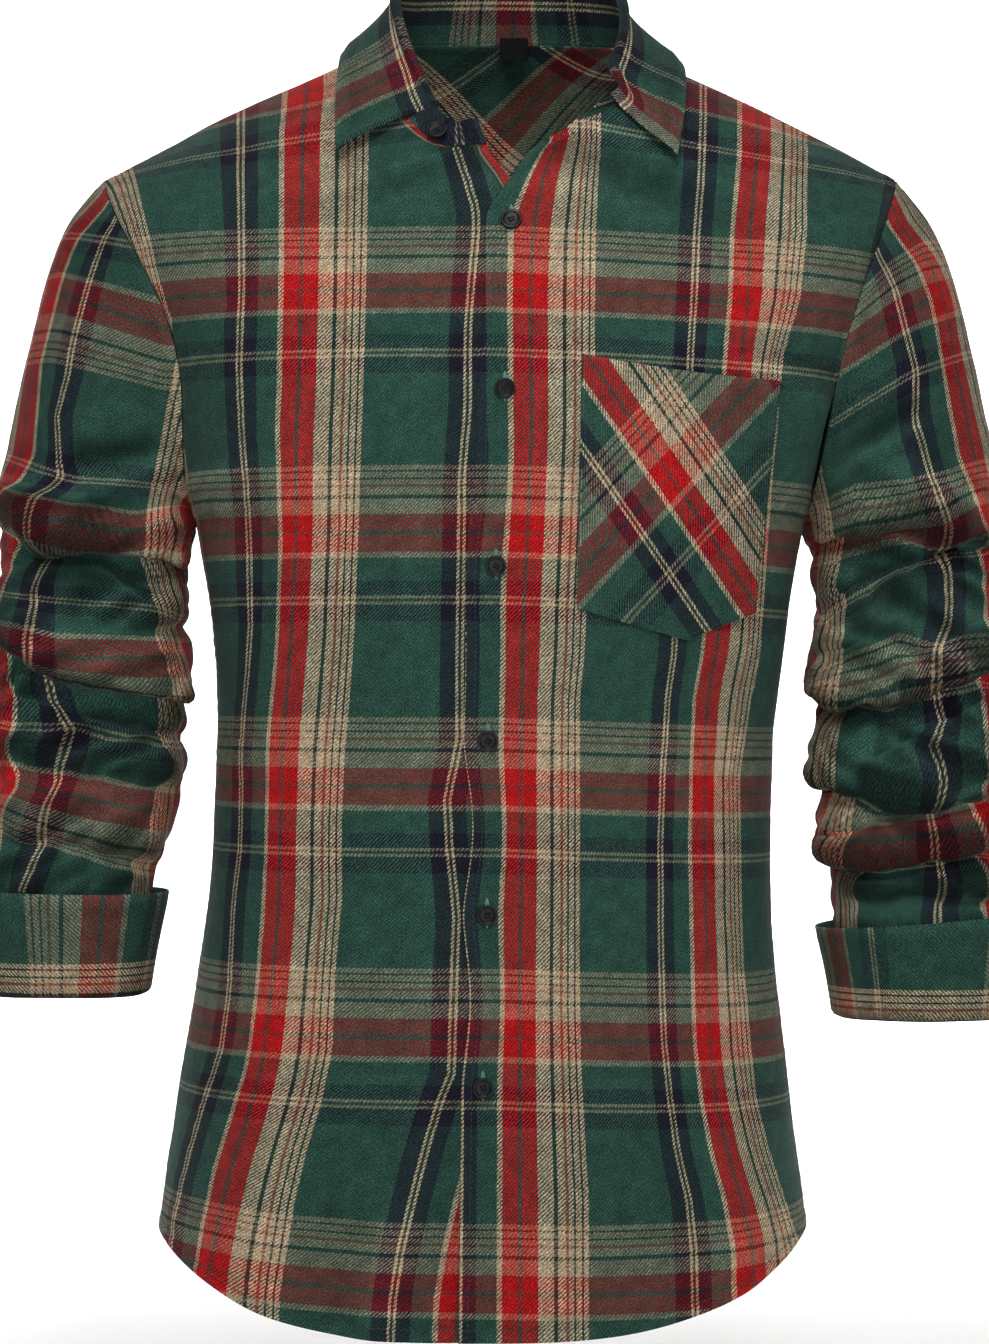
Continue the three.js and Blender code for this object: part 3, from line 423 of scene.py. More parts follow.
def drapeAt(side, p, front):  # how far out and how far down a hanging fold moves the cloth
    px, py = picturePlace(p, view["sleeves"])
    out = down = 0
    for points, ridge, above, crease, over in sleeveDrapes[side]:
        if not points[0][0] < px < points[-1][0]:
            continue
        slope = (line(points, px + 4) - line(points, px - 4)) / 8
        d = (line(points, px) - py) * view["scale"] / math.hypot(1, slope)
        if not hangingFold["reach"][0] < d < hangingFold["reach"][1]:
            continue
        ends = smooth((px - points[0][0]) / hangingFold["ends"]) * smooth((points[-1][0] - px) / hangingFold["ends"]) * front
        if d > 0:
            out += ends * ridge * bell(d - hangingFold["ridgeAt"], above)
        else:
            out += ends * ridge * bell(hangingFold["ridgeAt"], above) * bell(d, hangingFold["under"])
        out -= ends * crease * bell(d + 5, hangingFold["creaseWide"])
        down += ends * over * (bell(d - 4, hangingFold["overWide"]) - hangingFold["back"] * bell(d + 7, 6))
    return out, down


wrist = {-1: {"shift": 8, "drop": -7}, 1: {"shift": -2, "drop": 6}}
sleeveGrid = {"count": 170, "round": 96, "armholeFade": 0.2, "wristFrom": 0.7, "foldReach": 60, "foldShare": 0.75,
              "sag": 0.55, "calm": (0.12, 0.2, 0.94, 0.1), "drape": (0.06, 0.12, 0.97, 0.07), "seamOut": (0.1, 0.9),
              "seamDown": 1.5}


def sleeveAt(side, t):
    s = {name: column(sleeveSections, "t", name, t) for name in ("outX", "outZ", "inX", "inZ", "y", "halfDepth")}
    share = smooth((t - sleeveGrid["wristFrom"]) / (1 - sleeveGrid["wristFrom"]))
    s["inX"] += wrist[side]["shift"] * share
    s["inZ"] -= wrist[side]["drop"] * share
    s["outZ"] -= wrist[side]["drop"] * share
    return s


def rounded(angle, power):
    return [math.copysign(abs(v) ** power, v) for v in (math.cos(angle), math.sin(angle))]


def sleeveSection(side, s, turn):
    a = math.radians(turn)
    c, d = rounded(a, 2 / sleevePower)
    mx, mz = (s["outX"] + s["inX"]) / 2, (s["outZ"] + s["inZ"]) / 2
    hx, hz = (s["outX"] - s["inX"]) / 2, (s["outZ"] - s["inZ"]) / 2
    point = Vector((side * (mx + hx * c), s["y"] - s["halfDepth"] * d, mz + hz * c))
    width = math.hypot(hx, hz)
    return point, Vector((side * hx * c / width, -d, hz * c / width)), math.cos(a)


def between(t, limits):  # rises from the first limit over the second, and falls to the third over the last
    start, rise, end, fall = limits
    return smooth((t - start) / rise) * smooth((end - t) / fall)


def sleevePoint(side, s, first, t, turn):  # the place, and the one before the folds, which the plaid follows
    g = sleeveGrid
    point, facing, level = sleeveSection(side, s, turn)
    out, sag = 0, 0
    for at, slant, towards, spread, width, depth in sleeveFolds[side]:
        away = (turn - towards + 180) % 360 - 180
        d = point.z - (at - slant * level)
        if abs(d) > g["foldReach"]:
            continue
        around = bell(away, spread * 0.7)
        out += depth * (math.exp(-(abs(d / width) ** 1.5)) if depth < 0 else bell(d, width)) * around
        sag -= abs(depth) * g["sag"] * bell(d - width * 0.9, width * 0.8) * around
    calm = between(t, g["calm"])
    base = point.copy()
    point = point + facing * out * calm * g["foldShare"]
    point.z += sag * calm
    drapeOut, drapeDown = drapeAt(side, base, smooth(0.55 - facing.y) * between(t, g["drape"]))
    point = point + facing * drapeOut
    point.z -= drapeDown
    if t < g["armholeFade"]:
        hole = armholePoint(side, (180 - turn) % 360)
        hole.x += side * mix(*g["seamOut"], ((1 - level) / 2) ** 2)
        hole.z -= g["seamDown"] * ((1 + level) / 2) ** 4
        share = smooth(1 - t / g["armholeFade"])
        point = point + (hole - first) * share
        base = base + (hole - first) * share
    return point, base


def sleevePanel(side):
    g, rows, bases = sleeveGrid, [], []
    turns = [180 - i * 360 / g["round"] for i in range(g["round"] + 1)]
    firsts = [sleeveSection(side, sleeveAt(side, 0), turn)[0] for turn in turns]
    for r in range(g["count"] + 1):
        t = r / g["count"]
        s = sleeveAt(side, t)
        ring = [sleevePoint(side, s, first, t, turn) for turn, first in zip(turns, firsts)]
        rows.append([p for p, _ in ring])
        bases.append([base for _, base in ring])
    return rows, turns, bases


cuff = {"clear": 1.6, "wall": 1.9, "below": 7, "overlap": 22, "lapAt": 255, "step": 5.6, "stepFrom": 0.84,
        "stepOver": 0.1, "down": 14, "round": 96,
        "shape": {-1: {"height": 55, "flare": 10.5, "tilt": 2}, 1: {"height": 52, "flare": 9, "tilt": 10}}}


def cuffPanel(side):
    shape, end = cuff["shape"][side], sleeveAt(side, 1)
    mx, hx = (end["outX"] + end["inX"]) / 2, (end["outX"] - end["inX"]) / 2
    lowZ, outside = end["outZ"] - cuff["below"], cuff["clear"] + cuff["wall"]
    profile = []
    for k in range(cuff["down"] + 1):
        t = k / cuff["down"]
        profile.append((lowZ + shape["height"] * (1 - t), outside + shape["flare"] * (1 - t) ** 1.2, t))
    # the folded lip, up to the end of the sleeve
    profile += [(lowZ - 1.5, outside - 0.9, 1), (lowZ - 2.4, outside - 2.6, 1), (lowZ - 0.8, -1.3, 1),
                (end["outZ"] - 0.4, -1.5, 1)]
    rows = []
    for z0, out, t in profile:
        ring = []
        for i in range(cuff["round"] + 1):
            s = i / cuff["round"]
            a = math.radians(cuff["lapAt"] + cuff["overlap"] / 2 - (360 + cuff["overlap"]) * s)
            grow = out + cuff["step"] * smooth((s - cuff["stepFrom"]) / cuff["stepOver"])
            c, d = rounded(a, 2 / sleevePower)
            y = end["y"] + 4 * (1 - t) - (end["halfDepth"] + grow) * d
            ring.append(Vector((side * (mx + (hx + grow) * c), y, z0 + shape["tilt"] / 2 * c * (1 - t))))
        rows.append(ring)
    return rows


stand = {"height": 33, "lean": 10.5, "end": {-1: (-5, 13), 1: (17, 13)}, "fade": {-1: 0.04, 1: 0.09},
         "rise": 0.3, "under": -0.03, "up": 9, "round": 150}
leaf = {"inset": {-1: 0.075, 1: 0.008}, "roll": -6.5, "down": 22, "endFull": 0.3, "endFade": 0.07,
        "arch": 4.5, "archFade": 0.12, "warpAt": 0.17, "weftAt": 0.14, "weftRepeats": 3.34,
        "rolls": [(-1.7, 1.1), (-1.5, 2.4), (-0.4, 3.1), (1.2, 3.3), (2.6, 2.8)],
        "edge": [(-91, -99, -65), (-92, -66, -26), (-90, -12, 3), (-78, 45, 8), (-40, 82, 12), (5, 93, 12),
                 (50, 81, 11), (88, 44, 6), (104, -10, -2), (104, -66, -30), (98, -102, -67)]}
leafPath = Path(splinePoints(leaf["edge"], seamSteps))


def standPoint(along, up, out):
    outward, near = neckPath.outward(along), min(along, 1 - along)
    side = -1 if along < 0.5 else 1
    endX, endZ = stand["end"][side]
    leaning = smooth(near / stand["fade"][side])
    rise = Vector((endX * (1 - leaning), 0, mix(endZ, stand["height"], smooth(near / stand["rise"]))))
    rise -= outward * stand["lean"] * leaning
    return neckPath.point(along) + rise * up + outward * out


def standPanel():
    alongs = [i / stand["round"] for i in range(stand["round"] + 1)]
    ups = [mix(stand["under"], 1, k / stand["up"]) for k in range(stand["up"] + 1)]
    return [[standPoint(along, up, 0) for along in alongs] for up in ups]


def leafPanel():
    rows, rolls = [], leaf["rolls"]
    for k in range(len(rolls) + leaf["down"]):
        down = max(0, (k - len(rolls) + 1) / leaf["down"])
        out, up = rolls[min(k, len(rolls) - 1)]
        row = []
        for i in range(stand["round"] + 1):
            t = i / stand["round"]
            along = mix(leaf["inset"][-1], 1 - leaf["inset"][1], t)
            full = mix(leaf["endFull"], 1, smooth(min(t, 1 - t) / leaf["endFade"]))
            top = standPoint(along, 1, out * full)
            top.z += up * full
            p = top.lerp(leafPath.point(t), down)
            p.z += leaf["arch"] * math.sin(math.pi * down) * smooth(1 - t / leaf["archFade"])
            rolled = math.sin(math.pi * min(1, down * 1.15) ** 0.7) * leaf["roll"]
            row.append(p + neckPath.outward(along) * rolled)
        rows.append(row)
    return rows


print("panels ready")

# The plaid: shares of one repeat, and the yarn that starts there. Warp runs up the body, weft across it.
plaid = {
    "warp": 135, "weft": 140, "twill": 1.65,
    "yarns": {"navy": (29, 30, 39), "green": (42, 67, 59), "cream": (156, 138, 114), "red": (152, 26, 28),
              "dark": (36, 50, 44), "brown": (120, 70, 54), "shade": (88, 50, 46)},
    "stripes": [(0, "navy"), (0.066, "cream"), (0.077, "dark"), (0.088, "cream"), (0.099, "navy"), (0.16, "green"),
                (0.25, "cream"), (0.272, "red"), (0.338, "shade"), (0.356, "red"), (0.418, "cream"), (0.483, "dark"),
                (0.50, "cream"), (0.53, "brown"), (0.54, "cream"), (0.5625, "dark"), (0.569, "cream"),
                (0.59, "dark"), (0.601, "cream"), (0.621, "green")],
}

# Where known warp lines run down the fronts: share of the repeat, and (height in the picture, place across)
warpLines = {
    -1: [(-0.379, [(150, 127), (180, 136), (240, 150), (275, 157), (312, 168)]),
         (0.082, [(110, 241), (180, 240), (295, 241), (360, 239), (430, 241), (480, 245), (580, 250), (630, 251),
                  (660, 249), (700, 244), (750, 239), (850, 239), (900, 234), (1000, 227), (1050, 220), (1100, 203),
                  (1150, 188), (1225, 171)]),
         (0.347, [(95, 306), (130, 302), (295, 300), (380, 299), (430, 296), (530, 296), (630, 291), (675, 288),
                  (725, 283), (785, 280), (850, 279), (925, 277), (975, 272), (1025, 266), (1075, 259), (1125, 244),
                  (1175, 228), (1225, 216), (1275, 207)]),
         (0.621, [(100, 370), (230, 367), (330, 365), (430, 362), (530, 359), (630, 354), (675, 351), (750, 345),
                  (825, 342), (900, 342), (975, 335), (1050, 332), (1100, 322), (1150, 307), (1200, 295),
                  (1250, 287), (1295, 280)]),
         (1.082, [(150, 455), (180, 466), (210, 475), (230, 476), (280, 471), (330, 467), (405, 467), (480, 461),
                  (566, 460), (650, 459), (741, 459), (800, 446), (850, 449), (916, 456), (1000, 453), (1075, 451),
                  (1100, 440), (1150, 425), (1200, 412), (1250, 400), (1300, 392), (1335, 390)])],
    1: [(0.347, [(143, 556), (160, 549), (178, 542), (217, 535), (237, 532), (295, 530), (430, 531), (530, 527),
                 (605, 523), (680, 522), (775, 520), (850, 521), (1000, 519), (1300, 519)]),
        (0.621, [(143, 600), (230, 596), (330, 595), (430, 594), (655, 585), (700, 580), (1000, 580), (1075, 582),
                 (1150, 586), (1200, 589), (1275, 589)]),
        (1.082, [(115, 703), (180, 701), (230, 697), (295, 694), (360, 690), (655, 675), (700, 668), (775, 662),
                 (850, 660), (925, 660), (1000, 662), (1050, 665), (1100, 670), (1150, 677), (1200, 689), (1250, 694),
                 (1300, 695)]),
        (1.347, [(155, 757), (230, 750), (295, 748), (360, 742), (530, 727), (655, 717), (700, 708), (775, 705),
                 (850, 704), (925, 705), (1000, 708), (1050, 710), (1100, 716), (1150, 727), (1200, 742), (1250, 752)]),
        (1.621, [(230, 807), (295, 800), (360, 782), (530, 770), (650, 760), (775, 741), (850, 741), (925, 742),
                 (1000, 747), (1050, 750), (1100, 757), (1150, 770), (1200, 787), (1240, 800)])],
}
edgeShare = [(150, 0.17), (215, 0.165), (313, 0.158), (460, 0.103), (1000, 0.098), (1340, 0.085)]
weftLines = [(-683, -3.582), (-544, -2.582), (-407, -1.582), (-268, -0.582), (-135, 0.418), (-46.7, 1.082)]


def weftAt(z):
    return line(weftLines, z, True)


# How the weft sags on the fronts, and the red turning along the open edge of the under front
frontWeft = {"shoulder": 0.15, "shoulderZ": -100, "shoulderOver": 45, "shoulderX": 50, "tilt": 0.042,
             "hem": 9, "hemX": 180, "hemZ": -560, "hemOver": 120}
redTurning = {"above": -112, "wide": 5, "share": 0.29, "repeat": 60}


def frontPattern(side, rows):
    out, far = [], -1e4
    for row in rows:
        seen = [picturePlace(p) for p in row]
        shares = [share for share, _ in warpLines[side]]
        if side > 0:
            shares = [line(edgeShare, seen[0][1])] + shares
        values = [None] * len(row)
        for i, (px, py) in enumerate(seen):
            places = [line(points, py) if points[-1][0] > 400 or py < points[-1][0] else far
                      for _, points in warpLines[side]]
            if side > 0:
                places = [seen[0][0] - 0.01] + places
            for k in range(len(places) - 1):
                if far < places[k] <= px <= places[k + 1]:
                    values[i] = mix(shares[k], shares[k + 1], (px - places[k]) / (places[k + 1] - places[k]))
        known = [i for i, v in enumerate(values) if v is not None]
        if not known:
            last = warpLines[side][-1][1]
            nearest = min(range(len(row)), key=lambda i: abs(seen[i][0] - line(last, seen[i][1])))
            values[nearest] = shares[-1] if side > 0 else shares[0]
            known = [nearest]
        for i in range(known[0] - 1, -1, -1):
            values[i] = values[i + 1] - side * (row[i + 1] - row[i]).length / plaid["warp"]
        for i in range(known[-1] + 1, len(row)):
            values[i] = values[i - 1] + side * (row[i] - row[i - 1]).length / plaid["warp"]
        w, turning, marks = frontWeft, redTurning, []
        for p, u in zip(row, values):
            high, low = smooth((p.z - w["shoulderZ"]) / w["shoulderOver"]), smooth((w["hemZ"] - p.z) / w["hemOver"])
            droop = w["shoulder"] * high * max(0, abs(p.x) - w["shoulderX"]) + w["tilt"] * max(0, p.x)
            droop -= w["hem"] * (p.x / w["hemX"]) ** 2 * low
            away = (p - row[0]).length
            if side < 0 and row[0].z > turning["above"] and away < turning["wide"]:
                u = turning["share"] + away / turning["repeat"]
            marks.append((u, weftAt(p.z + droop)))
        out.append(marks)
    return out


def backPattern(rows):
    out = []
    for row in rows:
        arcs = Path(row).at
        out.append([(0.62 + (arc - arcs[-1] / 2) / plaid["warp"], weftAt(p.z)) for p, arc in zip(row, arcs)])
    return out


def yokePattern(rows):  # cut on the bias
    g, out, fall = yokeGrid, [], [0] * len(rows[0])
    for r in range(len(rows) - 1, -1, -1):
        if r < len(rows) - 1:
            fall = [f + (rows[r][c] - rows[r + 1][c]).length for c, f in enumerate(fall)]
        heights = [top.z - f for top, f in zip(rows[-1], fall)]
        out.append([(0.082 + (p.x + z - g["warpFrom"]) / g["warp"], 0.082 + (p.x - z - g["weftFrom"]) / g["weft"])
                    for p, z in zip(rows[r], heights)])
    return out[::-1]


sleeveAxis = [(-534, 246), (-380, 239), (-266, 233), (-160, 222), (-100, 208)]
sleeveWarps = {  # share, and (height in the picture, place across)
    -1: [(0.26, [(190, 85), (235, 59), (294, 50), (362, 36), (453, 34), (500, 10), (560, 2), (640, 0), (730, 20),
                 (800, 6), (889, -8)]),
         (0.082, [(190, 118), (207, 107), (235, 93), (271, 86), (330, 75), (375, 68), (416, 57), (462, 61), (475, 64),
                  (500, 45), (530, 35), (545, 50), (557, 41), (589, 36), (635, 36), (680, 45), (712, 59), (730, 73),
                  (753, 68), (803, 50), (839, 45), (889, 27)]),
         (-0.379, [(190, 195), (407, 158), (471, 150), (520, 140), (560, 140), (600, 152), (690, 160), (716, 159),
                   (748, 164), (812, 150), (889, 136)])],
    1: [(0.26, [(216, 898), (262, 925), (298, 934), (353, 941), (453, 957), (525, 982), (634, 985), (700, 985),
                (803, 975), (916, 985)]),
        (0.082, [(216, 862), (257, 880), (289, 896), (325, 903), (371, 914), (416, 912), (471, 928), (535, 946),
                 (566, 948), (612, 946), (648, 934), (684, 928), (690, 939), (716, 946), (748, 930), (771, 939),
                 (803, 928), (848, 930), (853, 941), (916, 934)]),
        (-0.379, [(216, 790), (400, 822), (470, 832), (539, 846), (589, 836), (657, 853), (720, 846), (785, 848),
                  (812, 857), (889, 857), (925, 857)])],
}
sleeveWefts = {  # share above and below the line, and (place across, height in the picture)
    -1: [(-0.6, -0.6, [(50, 82), (190, 100)]), (0.082, 0.082, [(59, 230), (159, 248)]),
         (0.347, 0.347, [(60, 293), (114, 312), (168, 330)]), (0.621, 0.621, [(50, 362), (164, 391)]),
         (1.082, 1.082, [(0, 453), (68, 475), (159, 487), (190, 498)]),
         (1.347, 1.347, [(0, 500), (27, 518), (136, 518), (190, 507)]),
         (1.47, 1.78, [(0, 522), (27, 535), (59, 541), (105, 543), (132, 548), (190, 552)]),
         (2.082, 2.082, [(0, 594), (55, 600), (159, 605), (190, 612)]),
         (2.347, 2.347, [(0, 630), (59, 650), (182, 655)]),
         (2.55, 2.86, [(0, 640), (27, 655), (59, 675), (114, 684), (166, 689), (190, 690)]),
         (3.082, 3.082, [(0, 721), (73, 725), (177, 746)]), (3.347, 3.347, [(0, 778), (173, 816)]),
         (3.621, 3.621, [(0, 832), (168, 885)]), (4.1, 4.1, [(0, 940), (168, 990)])],
    1: [(1.0, 1.0, [(840, 225), (857, 215), (925, 155), (989, 140)]),
        (0.621, 0.621, [(840, 305), (857, 294), (889, 262), (925, 239), (989, 225)]),
        (0.347, 0.347, [(830, 358), (848, 348), (903, 312), (962, 287), (989, 280)]),
        (0.082, 0.082, [(832, 425), (912, 375), (971, 353), (989, 348)]),
        (-0.379, -0.379, [(815, 500), (834, 494), (857, 482), (903, 480), (989, 457)]),
        (-0.517, -0.517, [(815, 522), (857, 514), (939, 507), (971, 494), (989, 490)]),
        (-0.653, -0.68, [(812, 543), (880, 534), (939, 525), (989, 512)]),
        (-0.918, -0.918, [(825, 620), (848, 607), (894, 575), (925, 558), (989, 552)]),
        (-1.379, -1.379, [(830, 662), (853, 653), (898, 630), (939, 639), (980, 635)]),
        (-1.55, -1.82, [(820, 675), (834, 689), (880, 698), (925, 680), (989, 662)]),
        (-2.0, -2.0, [(825, 722), (880, 728), (989, 698)]),
        (-2.28, -2.45, [(839, 778), (853, 784), (880, 792), (925, 800), (989, 780)]),
        (-2.653, -2.653, [(816, 840), (857, 838), (925, 832), (989, 820)]),
        (-2.74, -2.84, [(834, 853), (880, 862), (939, 850), (989, 844)]),
        (-2.95, -2.95, [(834, 876), (939, 870), (989, 864)]), (-3.5, -3.5, [(830, 960), (989, 950)])],
}


sleeveView = {"radius": 57, "repeat": 134, "top": -68, "long": 470}


def sleevePattern(side, rows, turns, places):
    radius, out = sleeveView["radius"], []
    for row, bases in zip(rows, places):
        ring = []
        for base, turn in zip(bases, turns):
            px, py = picturePlace(base, view["sleeves"])
            axis, known = line(sleeveAxis, base.z), []
            for share, points in sleeveWarps[side]:
                x = view["x"] + (line(points, py) - view["middle"][0]) * view["scale"] / view["sleeves"]
                known.append((math.degrees(math.acos(clamp((side * x - axis) / radius, -0.97, 0.97))), share))
            s = sleeveAt(side, clamp((sleeveView["top"] - base.z) / sleeveView["long"], 0, 1))
            seen = math.degrees(math.atan2((s["y"] - base.y) / s["halfDepth"] * radius, side * base.x - axis))
            seen += 360 * round((turn - seen) / 360)
            nearest = known[0] if seen <= known[0][0] else known[-1]
            if known[0][0] < seen < known[-1][0]:
                u = line(known, seen)
            else:
                u = nearest[1] + radius * math.radians(nearest[0] - seen) / sleeveView["repeat"]
            levels = sleeveWefts[side]
            heights = [line(points, px) for _, _, points in levels]
            k = 0
            while k < len(heights) - 2 and py > heights[k + 1]:
                k += 1
            down = (py - heights[k]) / (heights[k + 1] - heights[k])
            ring.append((u, mix(levels[k][1], levels[k + 1][0], down)))
        out.append(ring)
    return out


def nearestFront(row, x, behind):  # the place on the near side of a ring that is closest to x
    return min(range(len(row)), key=lambda i: abs(row[i].x - x) + (1000 if behind(row[i].y) else 0))


cuffCloth = {"frontX": {-1: -262.5, 1: 219.5}, "low": {-1: -527, 1: -541.6}, "share": {-1: 0.621, 1: 0},
             "weftAt": 0.552, "gather": 0.55, "gatherTo": -50}


def cuffPattern(side, rows):
    g, ring = cuffCloth, rows[cuff["down"]]
    arcs = Path(ring).at
    front = nearestFront(ring, g["frontX"][side], lambda y: y > -30)
    away = [arc - arcs[front] for arc in arcs]
    if side > 0:  # the turned-back end is gathered at its inner edge
        away = [d + g["gather"] * max(d, g["gatherTo"]) if d < 0 else d for d in away]
    return [[(g["weftAt"] + (p.z - g["low"][side]) / plaid["warp"], g["share"][side] - side * d / plaid["warp"])
             for p, d in zip(row, away)] for row in rows]


# The stand's stripes: the share at its seam and how far it falls to the top, at the back and at the ends
# At its ends the stand is turned to the dark navy stripe: partly the cloth's own stripe there, partly painted shade for
# the shadow under the leaf's ends
standCloth = {"back": (0.25, 0.24), "ends": (0.155, 0.05), "endFrom": 0.14, "endOver": 0.06, "middleX": 20,
              "share": 0.26}


def standPattern(rows):
    g, arcs = standCloth, Path(rows[stand["up"] // 2]).at
    middle = nearestFront(rows[0], g["middleX"], lambda y: y < 20)
    ends = [smooth((g["endFrom"] - i / stand["round"]) / g["endOver"]) for i in range(len(arcs))]
    out = []
    for k in range(len(rows)):
        back, front = [low - k / stand["up"] * fall for low, fall in (g["back"], g["ends"])]
        out.append([(mix(back, front, end), g["share"] - (arc - arcs[middle]) / plaid["weft"])
                    for end, arc in zip(ends, arcs)])
    return out


def leafPattern(rows):
    arcs, fall, out = Path(rows[-1]).at, [0] * len(rows[0]), []
    for k, row in enumerate(rows):
        if k:
            fall = [f + (row[i] - rows[k - 1][i]).length for i, f in enumerate(fall)]
        out.append([(leaf["warpAt"] - f / plaid["warp"], leaf["weftAt"] + leaf["weftRepeats"] * arc / arcs[-1])
                    for f, arc in zip(fall, arcs)])
    return out


pocket = {"left": 45, "right": 155, "topLeft": -181, "topRight": -193, "lowLeft": 42, "lowRight": 142.5,
          "low": [(0, -319), (0.6, -336), (1, -320.5)], "cells": 44, "gap": 0.9, "wall": 1.2, "sag": 2.2,
          "puff": (1.4, 0.8), "middle": (92.8, -264.2), "warp": (0.818, 0.576, 117), "weft": (-0.736, 0.677, 137.5)}


def gridFace(rows):  # finds the outer face of a front at a place seen from the front
    cells, size = {}, 5
    for r in range(len(rows) - 1):
        for c in range(len(rows[0]) - 1):
            quad = (rows[r][c], rows[r][c + 1], rows[r + 1][c + 1], rows[r + 1][c])
            for i in range(int(min(p.x for p in quad) // size), int(max(p.x for p in quad) // size) + 1):
                for k in range(int(min(p.z for p in quad) // size), int(max(p.z for p in quad) // size) + 1):
                    cells.setdefault((i, k), []).append(quad)

    def faceY(x, z):
        for p, q, s, t in cells.get((int(x // size), int(z // size)), []):
            for a, b, d in ((p, q, s), (p, s, t)):
                area = (b.x - a.x) * (d.z - a.z) - (d.x - a.x) * (b.z - a.z)
                if abs(area) > 1e-9:
                    u = ((x - a.x) * (d.z - a.z) - (d.x - a.x) * (z - a.z)) / area
                    v = ((b.x - a.x) * (z - a.z) - (x - a.x) * (b.z - a.z)) / area
                    if u >= -1e-4 and v >= -1e-4 and u + v <= 1.0002:
                        return a.y + u * (b.y - a.y) + v * (d.y - a.y)
        return None

    return faceY


def pocketPanel(faceY):
    rows, n = [], pocket["cells"]
    for r in range(n + 1):
        up, row = r / n, []
        for i in range(n + 1):
            t = i / n
            x = mix(mix(pocket["lowLeft"], pocket["lowRight"], t), mix(pocket["left"], pocket["right"], t), up)
            z = mix(line(pocket["low"], t), mix(pocket["topLeft"], pocket["topRight"], t), up)
            z -= pocket["sag"] * math.sin(math.pi * t) * up**3
            across = (faceY(x + 4, z) - faceY(x - 4, z)) / 8
            rise = (faceY(x, z + 4) - faceY(x, z - 4)) / 8
            low, high = pocket["puff"]
            puff = low * math.sin(math.pi * t) ** 0.7 * smooth(up * 2.2) + high * math.sin(math.pi * t) * up**4
            clear = (pocket["gap"] + pocket["wall"]) * math.hypot(1, across, rise)
            row.append(Vector((x, faceY(x, z) - clear - puff, z)))
        rows.append(row)
    return rows


def pocketPattern(rows):  # cut on the bias
    def share(p, across, up, repeat):
        return 0.261 + ((p.x - pocket["middle"][0]) * across + (p.z - pocket["middle"][1]) * up) / repeat

    return [[(share(p, *pocket["warp"]), share(p, *pocket["weft"])) for p in row] for row in rows]


# How each kind of sewn edge stands, in mm: ridge height and width, ditch depth, pucker height and length
edgeKinds = {
    "hem": {"ridge": 0.5, "wide": 7, "ditch": 0.35, "pucker": 0.45, "long": 9},
    "seam": {"ridge": 0.35, "wide": 7, "ditch": 0.4, "pucker": 0.4, "long": 8},
    "fold": {"ridge": 0.25, "wide": 9, "ditch": 0, "pucker": 0.12, "long": 16},
    "trim": {"ridge": 0.35, "wide": 5, "ditch": 0.3, "pucker": 0.3, "long": 7},
}


def seamRelief(kind, d, s, seed):
    k = edgeKinds[kind]
    out = k["ridge"] * smooth((k["wide"] - d) / 1.5)
    if kind == "seam":
        out -= k["ditch"] * math.exp(-d / 1.4)
    else:
        out -= k["ditch"] * math.exp(-(((d - k["wide"]) / 1.3) ** 2))
    wave = math.sin(s * 2 * math.pi / k["long"] + 3 * noise.noise(Vector((s / 25, seed, 0))))
    strength = 0.6 + 0.8 * noise.noise(Vector((s / 40, seed + 7, 3)))
    return out + k["pucker"] * wave * max(0, strength) * math.exp(-abs(d - k["wide"]) / 5)


# The cloth between its edges, in mm: (length, height) of its waves, the crumple below a height, and how far the
# wear beside an edge reaches; then, for the painted crease shade that darkens fold hollows, over what length a
# hollow is measured and how deep the deepest, fully shaded one is
relief = {"waves": [(75, 1.5), (27, 0.55), (9, 0.16)], "crumple": (42, 19), "crumpleFrom": -215, "crumpleOver": 60,
          "calm": 6, "calmShare": 0.35, "worn": 3.5, "hollowReach": 9, "hollowDeep": 2.4, "rim": 0.42}


def looseness(p, drape, crumple, seed):
    out = 0
    for k, (long, high) in enumerate(relief["waves"]):
        out += drape * high * noise.noise(p / long + Vector((0 if k else seed, 0, 0)))
    if crumple:
        wide, tall = relief["crumple"]
        ridge = 0.35 - abs(noise.noise(Vector((p.x / wide, p.y / wide, (p.z + 0.5 * abs(p.x)) / tall))))
        out += crumple * ridge * smooth((relief["crumpleFrom"] - p.z) / relief["crumpleOver"])
    return out


def meshPiece(name, vertices, faces):
    mesh = bpy.data.meshes.new(name)
    mesh.from_pydata(vertices, [], faces)
    mesh.polygons.foreach_set("use_smooth", [True] * len(faces))
    piece = bpy.data.objects.new(name, mesh)
    bpy.context.scene.collection.objects.link(piece)
    return piece


def dress(piece, replaced=None):
    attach(piece, "root")
    if replaced:
        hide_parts(replaced)


